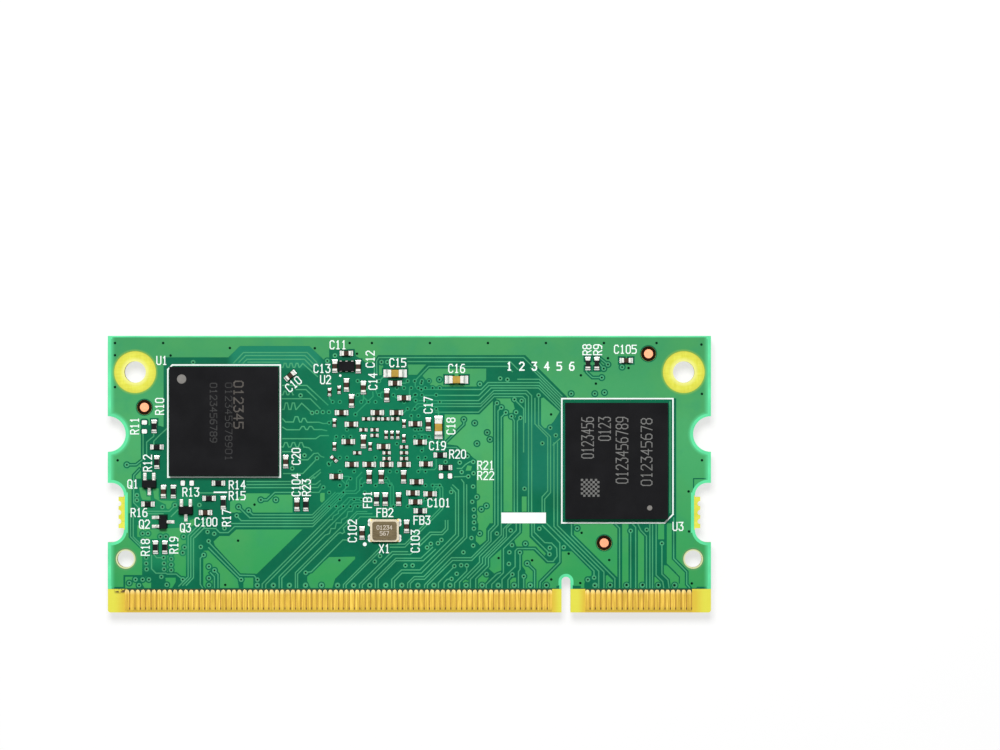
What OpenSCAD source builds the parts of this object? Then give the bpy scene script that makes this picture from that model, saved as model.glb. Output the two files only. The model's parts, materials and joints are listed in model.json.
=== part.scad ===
// System on module: a card-edge circuit board with memory and storage packages on its upper face and a
// lidded processor on its lower face. The contact edge runs along x, y points away from it and z is up.
// The module lies on the processor lid, and the origin is below the middle of the board.

/* [Board] */
// Length of the board along the contact edge
board_l = 67.6; // [66:0.1:76]
// Width of the board from the contact edge to the far edge
board_w = 31; // [30.6:0.1:36]
// Thickness of the laminate without its solder mask
laminate_t = 0.94; // [0.6:0.01:1.6]
// Thickness of the solder mask film on each face
mask_t = 0.03; // [0.02:0.005:0.06]
// Radius of the board's outer corners
corner_r = 0.3; // [0.1:0.05:1]

/* [Screw and locating holes] */
// Diameter of the two screw holes
screw_hole_d = 2.4; // [1.8:0.1:3]
// Diameter of the bare ring around each screw hole
screw_ring_d = 4.7; // [4:0.1:5.6]
// Distance of the screw holes from the short edges
screw_inset_x = 3.05; // [2.9:0.05:4]
// Distance of the screw holes from the far edge
screw_inset_y = 4.05; // [3:0.05:4.5]
// Diameter of the two locating holes
locating_hole_d = 1.9; // [1.6:0.05:1.95]
// Diameter of the bare ring around each locating hole
locating_ring_d = 2.2; // [2:0.05:2.6]
// Distance of the locating holes from the short edges
locating_inset_x = 2; // [1.7:0.05:2.6]
// Distance of the locating holes from the contact edge
locating_y = 6; // [4.5:0.05:6.3]

/* [Side notches] */
// Radius of the half-round latch notches
latch_r = 2; // [1.2:0.05:2.4]
// Distance of the latch notches from the contact edge
latch_y = 20; // [19:0.05:21]
// Length of the wide notches along the short edges
wide_notch_l = 6.65; // [5:0.05:7]
// Depth of the wide notches
wide_notch_depth = 1.8; // [1:0.05:2.2]
// Radius of the inner corners of the wide notches
wide_notch_r = 1.4; // [0.6:0.05:1.8]
// Distance of the middle of the wide notches from the contact edge
wide_notch_y = 11.2; // [10.8:0.05:12]
// Width of the bare strip that the mask leaves behind the wide notches
notch_strip_w = 0.1; // [0.05:0.05:0.6]
// Length of the stub of the panel tab in each wide notch
tab_l = 3.5; // [2:0.1:3.8]
// Reach of the stub into the notch
tab_reach = 0.6; // [0.3:0.05:0.8]
// Diameter of the holes along which the tab was broken off
tab_bite_d = 0.6; // [0.4:0.05:0.7]
// Distance between those holes
tab_bite_pitch = 1; // [0.8:0.05:1.2]

/* [Card edge] */
// Distance of the key slot from the right-hand short edge
key_inset = 16.25; // [14:0.05:18]
// Width of the key slot
key_w = 1; // [0.8:0.05:1.6]
// Depth of the key slot
key_depth = 4; // [3:0.05:4.5]
// Distance between neighbouring contacts
contact_pitch = 0.6; // [0.5:0.05:1]
// Width of one contact
contact_w = 0.47; // [0.3:0.01:0.48]
// Distance of the contacts from the contact edge
contact_inset = 0.25; // [0:0.05:0.5]
// Length of one contact
contact_l = 2.3; // [1.8:0.05:2.6]
// Thickness of the plated copper of the contacts
contact_t = 0.04; // [0.03:0.005:0.08]
// Gap between the contacts and the edge of the mask
contact_mask_gap = 0.1; // [0.05:0.05:0.4]
// Distance between the two contacts on either side of the key
key_contact_gap = 4.2; // [3.6:0.1:6]
// Distance from the key to the nearest contact on its left, on the upper face
key_contact_left = 1.8; // [1.4:0.05:2.4]
// Shift of the lower contacts against the upper ones
contact_stagger = 0.3; // [0:0.05:0.35]
// Least distance of a contact from the short edges
contact_end_clear = 2.1; // [1.5:0.05:3]

/* [Memory package] */
// Length of each side of the memory package
memory_side = 12.2; // [11:0.1:12.4]
// Thickness of the memory package's mould cap
memory_mould_t = 0.5; // [0.3:0.05:0.8]
// Diameter of the dimple that marks the memory package's first corner
memory_dimple_d = 1.05; // [0.6:0.05:1.4]
// Distance of that dimple from the package's sides
memory_dimple_inset = 1.38; // [1:0.02:2]
// Number of solder balls along each side of the memory package
memory_ball_count = 23; // [15:1:23]

/* [Storage package] */
// Length of the storage package along the contact edge
storage_l = 11.5; // [10:0.1:12]
// Width of the storage package
storage_w = 13; // [12:0.1:13.4]
// Thickness of the storage package's mould cap
storage_mould_t = 0.6; // [0.3:0.05:0.8]
// Diameter of the dimple that marks the storage package's first corner
storage_dimple_d = 0.6; // [0.4:0.05:1]
// Distance of that dimple from the package's right-hand side
storage_dimple_x = 2.05; // [1:0.05:2.5]
// Distance of that dimple from the package's near side
storage_dimple_y = 1.25; // [1:0.05:2]
// Number of solder balls along each side of the storage package's square field
storage_ball_count = 14; // [12:2:18]

/* [Package carriers] */
// Depth of the dimples in the mould caps
dimple_depth = 0.05; // [0.02:0.01:0.1]
// Thickness of the laminate carriers of the memory and storage packages
carrier_t = 0.2; // [0.1:0.05:0.4]
// Distance between neighbouring solder balls
ball_pitch = 0.5; // [0.45:0.01:0.52]
// Diameter of one solder ball
ball_d = 0.3; // [0.24:0.01:0.36]
// Height of the memory and storage packages above the board
ball_h = 0.2; // [0.14:0.01:0.22]

/* [Processor] */
// Length of each side of the processor's carrier
processor_side = 14; // [13:0.1:15]
// Thickness of the processor's carrier
processor_carrier_t = 0.35; // [0.2:0.05:0.6]
// Length of each side of the lid's brim
lid_side = 13.2; // [12:0.1:13.8]
// Length of each side of the lid's raised face
lid_face_side = 11.6; // [10:0.1:11.8]
// Radius of the lid's corners
lid_corner_r = 0.6; // [0.2:0.05:1.2]
// Height of the lid's brim
lid_brim_h = 0.4; // [0.3:0.01:0.6]
// Height of the lid's raised face above the brim
lid_face_h = 0.2; // [0.1:0.01:0.4]
// Thickness of the lid's roof over the die
lid_roof_t = 0.3; // [0.2:0.01:0.35]
// Length of each side of the die under the lid
die_side = 6.4; // [5:0.1:7.5]
// Width of the space between the die and the lid's wall
die_room = 1; // [0.5:0.1:1.5]
// Thickness of the paste between the die and the lid
paste_t = 0.04; // [0.02:0.01:0.08]
// Distance between neighbouring solder balls of the processor
processor_ball_pitch = 0.65; // [0.6:0.01:0.68]
// Number of solder balls along each side of the processor
processor_ball_count = 20; // [16:2:20]
// Diameter of one solder ball of the processor
processor_ball_d = 0.38; // [0.32:0.01:0.42]
// Height of the processor's carrier above the board
processor_ball_h = 0.25; // [0.18:0.01:0.3]

/* [Oscillator] */
// Length of the oscillator's ceramic base
oscillator_l = 3.2; // [2.8:0.05:3.4]
// Width of the oscillator's ceramic base
oscillator_w = 2.5; // [2.2:0.05:2.8]
// Thickness of the oscillator's ceramic base
oscillator_base_t = 0.5; // [0.3:0.05:0.7]
// Radius of the hollows in the corners of the base
castellation_r = 0.22; // [0.1:0.01:0.3]
// Width of the base's rim around the metal lid
oscillator_rim = 0.24; // [0.15:0.01:0.4]
// Thickness of the oscillator's metal lid
oscillator_lid_t = 0.22; // [0.1:0.01:0.3]
// Radius of the metal lid's corners
oscillator_lid_r = 0.3; // [0.1:0.05:0.5]
// Length of each corner pad
oscillator_pad_l = 0.9; // [0.6:0.05:1.2]
// Width of each corner pad
oscillator_pad_w = 0.8; // [0.6:0.05:1]

/* [Regulator and transistors] */
// Length of the regulator's body
regulator_l = 1.8; // [1.6:0.05:1.9]
// Width of the regulator's body
regulator_w = 1.1; // [0.9:0.05:1.2]
// Height of the regulator's body
regulator_h = 0.55; // [0.4:0.05:0.8]
// Reach of each lead past the regulator's body
regulator_reach = 0.06; // [0.04:0.01:0.15]
// Distance between neighbouring regulator leads
regulator_pitch = 0.65; // [0.5:0.05:0.7]
// Length of each transistor's body
transistor_l = 1.5; // [1.3:0.05:1.7]
// Width of each transistor's body
transistor_w = 0.85; // [0.7:0.05:1]
// Height of each transistor's body
transistor_h = 0.7; // [0.5:0.05:0.9]
// Distance between the tips of a transistor's opposite leads
transistor_span = 2.4; // [2:0.05:2.5]
// Distance between the two leads on one side of a transistor
transistor_pitch = 1; // [0.8:0.05:1.1]
// Width of one lead
lead_w = 0.26; // [0.15:0.01:0.35]
// Thickness of one lead
lead_t = 0.12; // [0.08:0.01:0.16]
// Length of a lead's foot
lead_foot = 0.34; // [0.15:0.01:0.4]
// Draft of the moulded bodies, per side
mould_draft = 0.06; // [0.02:0.01:0.1]

/* [Capacitors, resistors and beads] */
// Length of the large capacitors
large_l = 1.6; // [1.4:0.05:1.8]
// Width of the large capacitors
large_w = 0.8; // [0.7:0.05:0.95]
// Height of the large capacitors
large_h = 0.75; // [0.5:0.05:0.9]
// Length of each end terminal of the large capacitors
large_band = 0.38; // [0.25:0.01:0.5]
// Reach of the solder in front of the large capacitors
large_toe = 0.5; // [0.3:0.01:0.55]
// Length of the medium chips
medium_l = 1; // [0.9:0.05:1.1]
// Width of the medium chips
medium_w = 0.5; // [0.45:0.05:0.6]
// Height of the medium capacitors and beads
medium_h = 0.5; // [0.4:0.05:0.6]
// Length of each end terminal of the medium chips
medium_band = 0.24; // [0.15:0.01:0.3]
// Reach of the solder in front of the medium chips
medium_toe = 0.24; // [0.2:0.01:0.32]
// Length of the small capacitors
small_l = 0.6; // [0.5:0.05:0.65]
// Width of the small capacitors
small_w = 0.3; // [0.25:0.01:0.36]
// Height of the small capacitors
small_h = 0.28; // [0.25:0.01:0.4]
// Length of each end terminal of the small capacitors
small_band = 0.15; // [0.1:0.01:0.2]
// Reach of the solder in front of the small capacitors
small_toe = 0.15; // [0.1:0.01:0.18]
// Length of each end terminal of the resistors
resistor_band = 0.16; // [0.1:0.01:0.25]
// Height of the resistors without their coat
resistor_h = 0.3; // [0.24:0.01:0.45]
// Thickness of the resistors' black coat
resistor_coat_t = 0.03; // [0.02:0.01:0.05]
// Thickness of the metal around each end terminal
terminal_t = 0.02; // [0.01:0.005:0.03]
// Thickness of the solder at the ends of its hollow face
solder_skin = 0.03; // [0.02:0.005:0.05]
// Overhang of the solder past the sides of a chip
solder_side = 0.04; // [0.02:0.01:0.06]

/* [Inductors and power chips] */
// Length of the power inductors
inductor_l = 2.5; // [2:0.1:2.7]
// Width of the power inductors
inductor_w = 2; // [1.6:0.1:2.2]
// Height of the power inductors
inductor_h = 1; // [0.8:0.05:1.15]
// Length of each end terminal of the inductors
inductor_band = 0.5; // [0.3:0.05:0.7]
// Length of each side of the power chips
power_chip_side = 3; // [2.6:0.1:3.2]
// Height of the power chips
power_chip_h = 0.7; // [0.5:0.05:0.9]
// Distance between neighbouring leads of the power chips
power_lead_pitch = 0.5; // [0.45:0.01:0.65]
// Reach of each lead past the body of the power chips
power_lead_reach = 0.12; // [0.08:0.01:0.2]

/* [Fiducials] */
// Diameter of each fiducial disc
fiducial_d = 1; // [0.8:0.02:1.3]
// Diameter of the mask opening around each fiducial
fiducial_opening_d = 1.7; // [1.5:0.05:2]
// Thickness of each fiducial disc
fiducial_t = 0.035; // [0.02:0.005:0.05]

/* [Hidden] */
$fn = 48;
// Overlap of a cutting tool past the face that it opens
cut = 0.1;

// Heights of the two board faces, from the surface that the lid lies on
processor_h = processor_ball_h + processor_carrier_t + lid_brim_h + lid_face_h;
lower_face_z = max(processor_h, inductor_h + 2 * terminal_t);
laminate_z = lower_face_z + mask_t;
upper_face_z = laminate_z + laminate_t + mask_t;
mask_edge_y = contact_inset + contact_l + contact_mask_gap;
key_x = board_l / 2 - key_inset;

// Chip sizes as [length, width, height, terminal length, solder reach]
large_chip = [large_l, large_w, large_h, large_band, large_toe];
medium_chip = [medium_l, medium_w, medium_h, medium_band, medium_toe];
small_chip = [small_l, small_w, small_h, small_band, small_toe];
resistor_chip = [medium_l, medium_w, resistor_h, resistor_band, medium_toe];
inductor_chip = [inductor_l, inductor_w, inductor_h, inductor_band, medium_toe];

// Places on the upper face as [x from the board's middle, y from the contact edge, turn]
memory_place = [-20.75, 21.45, 0];
storage_place = [23.2, 17, 0];
oscillator_place = [-2.78, 9.2, 0];
regulator_place = [-7.05, 27.6, 0];
transistor_places = [[-29.15, 14.4, 0], [-25.05, 11.45, 0], [-27.6, 10.15, 90]];
fiducial_places = [[-29.7, 23, 0], [26.8, 29, 0], [21.83, 7.8, 0]];
large_places = [[-1.6, 26.8, 0], [5.28, 26.1, 0], [3.27, 20.75, 90]];
medium_places = [
    [-7.06, 29.05, 0], [-8.35, 27.6, 90], [-5.73, 27.55, 90], [-7.05, 25.5, 90], [-5.15, 25.2, 90],
    [-6.48, 23.7, 90], [-7.6, 22.4, 0], [-1.6, 25.7, 0], [-2.53, 24.33, 90], [-0.6, 24.05, 0],
    [-3.6, 22.4, 0], [-1.45, 22.4, 0], [-13.35, 26.55, 40], [-6.5, 21.1, 0], [0.66, 21.15, 0],
    [2.13, 21.1, 90], [-5.15, 19.15, 90], [-6.85, 19.15, 0], [-2.9, 18.6, 0], [1.2, 19.1, 0],
    [-6.45, 16.6, 0], [-4.5, 16.6, 0], [-2.55, 16.6, 0], [-0.6, 16.6, 0], [1.85, 16.65, 0],
    [-4.5, 15.2, 90], [-3.15, 15.2, 90], [-0.65, 15.2, 90], [-8.2, 15.25, 0], [0.8, 14.65, 0],
    [-13.85, 16.9, 90], [-12.6, 12.1, 90], [-1.21, 12.7, 90], [0.39, 13.4, 0], [2.32, 13.3, 0],
    [0.67, 12.4, 0], [-5.3, 8.9, 90], [-0.31, 9.65, 90], [-27.55, 13.55, 90], [-22.85, 11.2, 0],
    [24.3, 28.25, 0]
];
small_places = [
    [-8.95, 24.7, 90], [-7.87, 24.95, 90], [-4.85, 21.7, 0], [-3.75, 21.7, 0], [-2.7, 21.7, 0],
    [-1.6, 21.7, 0], [-8.4, 21.25, 90], [-0.6, 21.15, 90], [-5.15, 20.47, 0], [-3.9, 20.47, 0],
    [-3.9, 19.85, 0], [-2.6, 19.9, 90], [-1.95, 19.9, 90], [-1.3, 19.9, 90], [-0.62, 19.5, 90],
    [-4.4, 18.6, 90], [-8.4, 18.6, 90], [-0.6, 18.55, 0], [-5.85, 17.9, 0], [-2.55, 17.9, 0],
    [-0.6, 17.9, 0], [-2.55, 17.25, 0], [-0.6, 17.25, 0], [-8.45, 17.2, -42]
];
resistor_places = [
    [-28.6, 20.85, 90], [-28.3, 18.55, 0], [-28.3, 16.85, 90], [-26.45, 13.55, 90], [-21.4, 14.5, 0],
    [-22.45, 12.8, 0], [-20.85, 12.3, 90], [-29.3, 12.15, 0], [-28.45, 7.3, 90], [-27.4, 7.3, 90],
    [-11.6, 12.1, 90], [3.45, 17.65, 0], [4.05, 16.25, 0], [20, 27.9, 90], [21, 27.9, 90]
];
bead_places = [[-3.68, 12.7, 90], [-2.7, 12.7, 90], [1.22, 11.4, 0]];
bare_pad_places = [[-29.7, 20.8, 90], [-24.9, 14.5, 0], [4.05, 15.3, 0]];

// Places on the lower face, in the same x and y
processor_place = [-3, 19, 0];
power_chip_places = [[-22.6, 22.2, 0], [-22.6, 11.8, 0]];
inductor_places = [for (y = [24, 20.4, 13.6, 10]) [-18, y, 90]];
lower_large_places = [
    for (y = [24, 20.4, 13.6, 10]) [-14.8, y, 90],
    for (y = [23.6, 20.8, 13.2, 10.4]) [-26.6, y, 90]
];
lower_medium_places = [
    for (x = [-8, -5.5, -3, -0.5, 2], y = [10.3, 27.7]) [x, y, 0],
    for (y = [14, 16.5, 19, 21.5, 24]) [5.9, y, 90],
    for (y = [16.4, 18.6]) [-12.2, y, 90]
];
lower_resistor_places = [
    for (x = [9.5, 11, 12.5, 14]) [x, 9, 90],
    for (y = [16, 17.6]) [-22.6, y, 0]
];

// Seats what it draws on the upper or the lower face, at a place on the board
module on_upper_face(place = [0, 0, 0])
    translate([place.x, place.y - board_w / 2, upper_face_z]) rotate(place.z) children();
module on_lower_face(place = [0, 0, 0])
    translate([place.x, place.y - board_w / 2, lower_face_z]) mirror([0, 0, 1]) rotate(place.z) children();
module each_on_upper_face(places) for (place = places) on_upper_face(place) children();
module each_on_lower_face(places) for (place = places) on_lower_face(place) children();

// Draws its children at the left and the right end of the board
module both_ends(inset, y)
    for (side = [-1, 1]) translate([side * (board_l / 2 - inset), y]) children();

module rounded_rect(size, r) {
    square([size.x - 2 * r, size.y], center = true);
    square([size.x, size.y - 2 * r], center = true);
    for (sx = [-1, 1], sy = [-1, 1])
        translate([sx * (size.x / 2 - r), sy * (size.y / 2 - r)]) circle(r);
}

// A wide notch, round the middle of its mouth, with what is left of the tab that held the board in its panel
module wide_notch()
    difference() {
        rounded_rect([2 * wide_notch_depth, wide_notch_l], wide_notch_r);
        for (side = [-1, 1]) translate([side * wide_notch_depth, 0]) difference() {
            square([2 * tab_reach, tab_l], center = true);
            for (i = [-1 : 1]) translate([-side * tab_reach, i * tab_bite_pitch]) circle(d = tab_bite_d);
        }
    }

// Outlines of the board, from the contact edge up
module board_outline()
    difference() {
        translate([0, board_w / 2]) rounded_rect([board_l, board_w], corner_r);
        both_ends(0, latch_y) circle(latch_r);
        both_ends(0, wide_notch_y) wide_notch();
        both_ends(locating_inset_x, locating_y) circle(d = locating_hole_d);
        translate([key_x - key_w / 2, -cut]) square([key_w, key_depth - key_w / 2 + cut]);
        translate([key_x, key_depth - key_w / 2]) circle(d = key_w);
    }
module screw_circles(d) both_ends(screw_inset_x, board_w - screw_inset_y) circle(d = d);
module mask_outline()
    difference() {
        board_outline();
        screw_circles(screw_ring_d);
        both_ends(locating_inset_x, locating_y) circle(d = locating_ring_d);
        translate([-board_l / 2 - cut, -cut]) square([board_l + 2 * cut, mask_edge_y + cut]);
        both_ends(0, wide_notch_y)
            square([2 * (wide_notch_depth + notch_strip_w), wide_notch_l - 2 * wide_notch_r], center = true);
    }

module circuit_board()
    color("khaki") translate([0, -board_w / 2, laminate_z]) linear_extrude(laminate_t)
        difference() {
            board_outline();
            screw_circles(screw_hole_d);
        }
module memory_side_mask()
    color("mediumseagreen") on_upper_face() translate([0, 0, -mask_t]) linear_extrude(mask_t)
        difference() {
            mask_outline();
            for (place = fiducial_places) translate([place.x, place.y]) circle(d = fiducial_opening_d);
        }
module processor_side_mask()
    color("mediumseagreen") on_lower_face() translate([0, 0, -mask_t]) linear_extrude(mask_t) mask_outline();

// Contact places count away from the key on both sides, as far as the short edges allow
function contact_xs(shift) =
    let (
        left = key_x - key_contact_left + shift,
        right = left + key_contact_gap,
        end = board_l / 2 - contact_end_clear
    )
    concat(
        [for (x = left; x >= -end; x = x - contact_pitch) x],
        [for (x = right; x <= end; x = x + contact_pitch) x]
    );
module contact_row(shift)
    translate([0, 0, -mask_t]) linear_extrude(contact_t)
        for (x = contact_xs(shift)) translate([x, contact_inset]) {
            translate([-contact_w / 2, 0]) square([contact_w, contact_l - contact_w / 2]);
            translate([0, contact_l - contact_w / 2]) circle(d = contact_w);
        }
module memory_side_contacts() color("goldenrod") on_upper_face() contact_row(0);
module processor_side_contacts() color("goldenrod") on_lower_face() contact_row(contact_stagger);
module fiducials()
    color("lightsalmon") each_on_upper_face(fiducial_places)
        translate([0, 0, -mask_t]) cylinder(d = fiducial_d, h = fiducial_t);

// Solder balls are spheres flattened where they meet the board and the carrier
module ball(d, h)
    intersection() {
        translate([0, 0, h / 2]) sphere(d = d);
        translate([-d / 2, -d / 2, 0]) cube([d, d, h]);
    }
// The ring of a ball in a square field of count x count, counted from the outside
function ring(i, j, count) = min(i, j, count - 1 - i, count - 1 - j);
function holds(list, value) = len([for (item = list) if (item == value) item]) > 0;
module ball_at(i, j, count, pitch, d, h)
    translate([(i - (count - 1) / 2) * pitch, (j - (count - 1) / 2) * pitch, 0]) ball(d, h);
module ball_field(count, pitch, d, h, rings)
    for (i = [0 : count - 1], j = [0 : count - 1])
        if (holds(rings, ring(i, j, count))) ball_at(i, j, count, pitch, d, h);
module slab(size, z) translate([-size.x / 2, -size.y / 2, z]) cube(size);

module memory_balls()
    color("silver") on_upper_face(memory_place)
        ball_field(memory_ball_count, ball_pitch, ball_d, ball_h, [0, 1]);
module memory_carrier()
    color("darkolivegreen") on_upper_face(memory_place) slab([memory_side, memory_side, carrier_t], ball_h);
// A mould cap with a shallow round dimple at a place on its face
module mould_cap(size, dimple_d, dimple)
    difference() {
        slab(size, ball_h + carrier_t);
        translate([dimple.x, dimple.y, ball_h + carrier_t + size.z - dimple_depth])
            cylinder(d = dimple_d, h = dimple_depth + cut);
    }
memory_dimple = memory_side / 2 - memory_dimple_inset;
module memory_mould()
    color("dimgray") on_upper_face(memory_place)
        mould_cap(
            [memory_side, memory_side, memory_mould_t], memory_dimple_d,
            [-memory_dimple, memory_dimple]
        );
// The single ball in the storage package's fourth ring marks its first corner
module storage_balls()
    color("silver") on_upper_face(storage_place) {
        ball_field(storage_ball_count, ball_pitch, ball_d, ball_h, [0, 1, 2, 4]);
        ball_at(storage_ball_count - 4, 3, storage_ball_count, ball_pitch, ball_d, ball_h);
    }
module storage_carrier()
    color("darkolivegreen") on_upper_face(storage_place) slab([storage_l, storage_w, carrier_t], ball_h);
module storage_mould()
    color("dimgray") on_upper_face(storage_place)
        mould_cap(
            [storage_l, storage_w, storage_mould_t], storage_dimple_d,
            [storage_l / 2 - storage_dimple_x, storage_dimple_y - storage_w / 2]
        );

// Oscillator: a ceramic base with hollowed corners on four pads, and a seam-welded lid
module oscillator_pads()
    color("gold") on_upper_face(oscillator_place) for (sx = [-1, 1], sy = [-1, 1])
        translate([sx * (oscillator_l - oscillator_pad_l) / 2, sy * (oscillator_w - oscillator_pad_w) / 2, 0])
            slab([oscillator_pad_l, oscillator_pad_w, contact_t], 0);
module oscillator_base()
    color("wheat") on_upper_face(oscillator_place) translate([0, 0, contact_t])
        linear_extrude(oscillator_base_t) difference() {
            square([oscillator_l, oscillator_w], center = true);
            for (sx = [-1, 1], sy = [-1, 1])
                translate([sx * oscillator_l / 2, sy * oscillator_w / 2]) circle(castellation_r);
        }
module oscillator_lid()
    color("tan") on_upper_face(oscillator_place) translate([0, 0, contact_t + oscillator_base_t])
        linear_extrude(oscillator_lid_t)
            rounded_rect(
                [oscillator_l - 2 * oscillator_rim, oscillator_w - 2 * oscillator_rim],
                oscillator_lid_r
            );

// A moulded body: its walls lean in above and below the level of the leads
module drafted_body(l, w, h, lead_z)
    rotate([90, 0, 90]) linear_extrude(l, center = true) polygon([
        [-w / 2 + mould_draft, 0], [w / 2 - mould_draft, 0], [w / 2, lead_z], [w / 2, lead_z + lead_t],
        [w / 2 - mould_draft, h], [-w / 2 + mould_draft, h], [-w / 2, lead_z + lead_t], [-w / 2, lead_z]
    ]);
// A lead that leaves the body level, drops to the board and ends in a foot, along +y
module gull_lead(from, to, z)
    rotate([90, 0, 90]) linear_extrude(lead_w, center = true) polygon([
        [from, z], [from, z + lead_t], [from + lead_t, z + lead_t], [to - lead_foot + lead_t / 2, lead_t],
        [to, lead_t], [to, 0], [to - lead_foot, 0], [from + lead_t / 2, z]
    ]);
transistor_lead_z = (transistor_h - lead_t) / 2;
module transistor_bodies()
    color("dimgray") each_on_upper_face(transistor_places)
        drafted_body(transistor_l, transistor_w, transistor_h, transistor_lead_z);
module transistor_leads()
    color("silver") each_on_upper_face(transistor_places) {
        for (side = [-1, 1]) translate([side * transistor_pitch / 2, 0, 0])
            gull_lead(transistor_w / 2, transistor_span / 2, transistor_lead_z);
        rotate(180) gull_lead(transistor_w / 2, transistor_span / 2, transistor_lead_z);
    }
module regulator_body()
    color("dimgray") on_upper_face(regulator_place) drafted_body(regulator_l, regulator_w, regulator_h, 0);
module regulator_leads()
    color("silver") on_upper_face(regulator_place) for (side = [0, 180], i = [-1 : 1])
        rotate(side) translate([i * regulator_pitch - lead_w / 2, regulator_w / 2, 0])
            cube([lead_w, regulator_reach, lead_t]);

// Chips: a body between two end terminals, which are a little thicker, and a solder fillet at each end
module chip_body(chip)
    slab([chip[0] - 2 * chip[3], chip[1], chip[2]], terminal_t);
module chip_terminals(chip)
    for (side = [-1, 1]) translate([side * (chip[0] - chip[3]) / 2, 0, 0])
        slab([chip[3], chip[1] + 2 * terminal_t, chip[2] + 2 * terminal_t], 0);
module fillet(reach, width)
    rotate([90, 0, 0]) linear_extrude(width, center = true) difference() {
        square(reach);
        translate([reach, reach]) circle(reach - solder_skin);
    }
module chip_fillets(chip)
    for (turn = [0, 180]) rotate(turn) translate([chip[0] / 2, 0, 0])
        fillet(min(chip[4], chip[2]), chip[1] + 2 * solder_side);

module large_capacitor_bodies() color("darkkhaki") each_on_upper_face(large_places) chip_body(large_chip);
module medium_capacitor_bodies()
    color("saddlebrown") each_on_upper_face(medium_places) chip_body(medium_chip);
module small_capacitor_bodies() color("saddlebrown") each_on_upper_face(small_places) chip_body(small_chip);
module capacitor_terminals()
    color("silver") {
        each_on_upper_face(large_places) chip_terminals(large_chip);
        each_on_upper_face(medium_places) chip_terminals(medium_chip);
        each_on_upper_face(small_places) chip_terminals(small_chip);
    }
module resistor_coat(chip)
    slab([chip[0] - 2 * chip[3], chip[1], resistor_coat_t], terminal_t + chip[2]);
module resistor_bodies() color("white") each_on_upper_face(resistor_places) chip_body(resistor_chip);
module resistor_coats() color("black") each_on_upper_face(resistor_places) resistor_coat(resistor_chip);
module resistor_terminals()
    color("silver") each_on_upper_face(resistor_places) chip_terminals(resistor_chip);
module bead_bodies() color("dimgray") each_on_upper_face(bead_places) chip_body(medium_chip);
module bead_terminals() color("silver") each_on_upper_face(bead_places) chip_terminals(medium_chip);
module oscillator_fillets()
    for (turn = [0, 180], sy = [-1, 1])
        rotate(turn) translate([oscillator_l / 2, sy * (oscillator_w - oscillator_pad_w) / 2, 0])
            fillet(medium_toe, oscillator_pad_w - 2 * castellation_r);
module solder_fillets()
    color("gainsboro") {
        each_on_upper_face(large_places) chip_fillets(large_chip);
        each_on_upper_face(medium_places) chip_fillets(medium_chip);
        each_on_upper_face(small_places) chip_fillets(small_chip);
        each_on_upper_face(resistor_places) chip_fillets(resistor_chip);
        each_on_upper_face(bead_places) chip_fillets(medium_chip);
        on_upper_face(oscillator_place) oscillator_fillets();
    }
// Tinned pads of a medium chip that isn't fitted
module bare_pads()
    color("gainsboro") each_on_upper_face(bare_pad_places) for (side = [-1, 1])
        translate([side * medium_l / 2, 0, 0]) linear_extrude(contact_t)
            rounded_rect([medium_band + medium_toe, medium_w + 2 * solder_side], medium_w / 4);

// Processor: carrier on solder balls, die on the carrier, paste on the die and a lid with a raised face
lid_z = processor_ball_h + processor_carrier_t;
lid_h = lid_brim_h + lid_face_h;
die_t = lid_h - lid_roof_t - paste_t;
module processor_balls()
    color("silver") on_lower_face(processor_place)
        ball_field(processor_ball_count, processor_ball_pitch, processor_ball_d, processor_ball_h,
            [0, 1, 2, 7, 8, 9]);
module processor_carrier()
    color("darkgreen") on_lower_face(processor_place)
        slab([processor_side, processor_side, processor_carrier_t], processor_ball_h);
module processor_die()
    color("slategray") on_lower_face(processor_place) slab([die_side, die_side, die_t], lid_z);
module die_paste()
    color("lightgray") on_lower_face(processor_place) slab([die_side, die_side, paste_t], lid_z + die_t);
module processor_lid()
    color("silver") on_lower_face(processor_place) translate([0, 0, lid_z]) difference() {
        union() {
            linear_extrude(lid_brim_h) rounded_rect([lid_side, lid_side], lid_corner_r);
            linear_extrude(lid_h) rounded_rect([lid_face_side, lid_face_side], lid_corner_r);
        }
        slab([die_side + 2 * die_room, die_side + 2 * die_room, lid_h - lid_roof_t + cut], -cut);
    }

// Power inductors and power chips with flat leads on all four sides
module inductor_bodies() color("dimgray") each_on_lower_face(inductor_places) chip_body(inductor_chip);
module inductor_terminals() color("silver") each_on_lower_face(inductor_places) chip_terminals(inductor_chip);
module power_chip_bodies()
    color("dimgray") each_on_lower_face(power_chip_places)
        slab([power_chip_side, power_chip_side, power_chip_h], 0);
power_leads = floor((power_chip_side - lead_w) / power_lead_pitch - 1);
module power_chip_leads()
    color("silver") each_on_lower_face(power_chip_places)
        for (turn = [0 : 90 : 270], i = [0 : power_leads - 1])
            rotate(turn) translate([(i - (power_leads - 1) / 2) * power_lead_pitch, power_chip_side / 2, 0])
                translate([-lead_w / 2, 0, 0]) cube([lead_w, power_lead_reach, lead_t]);

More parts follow.
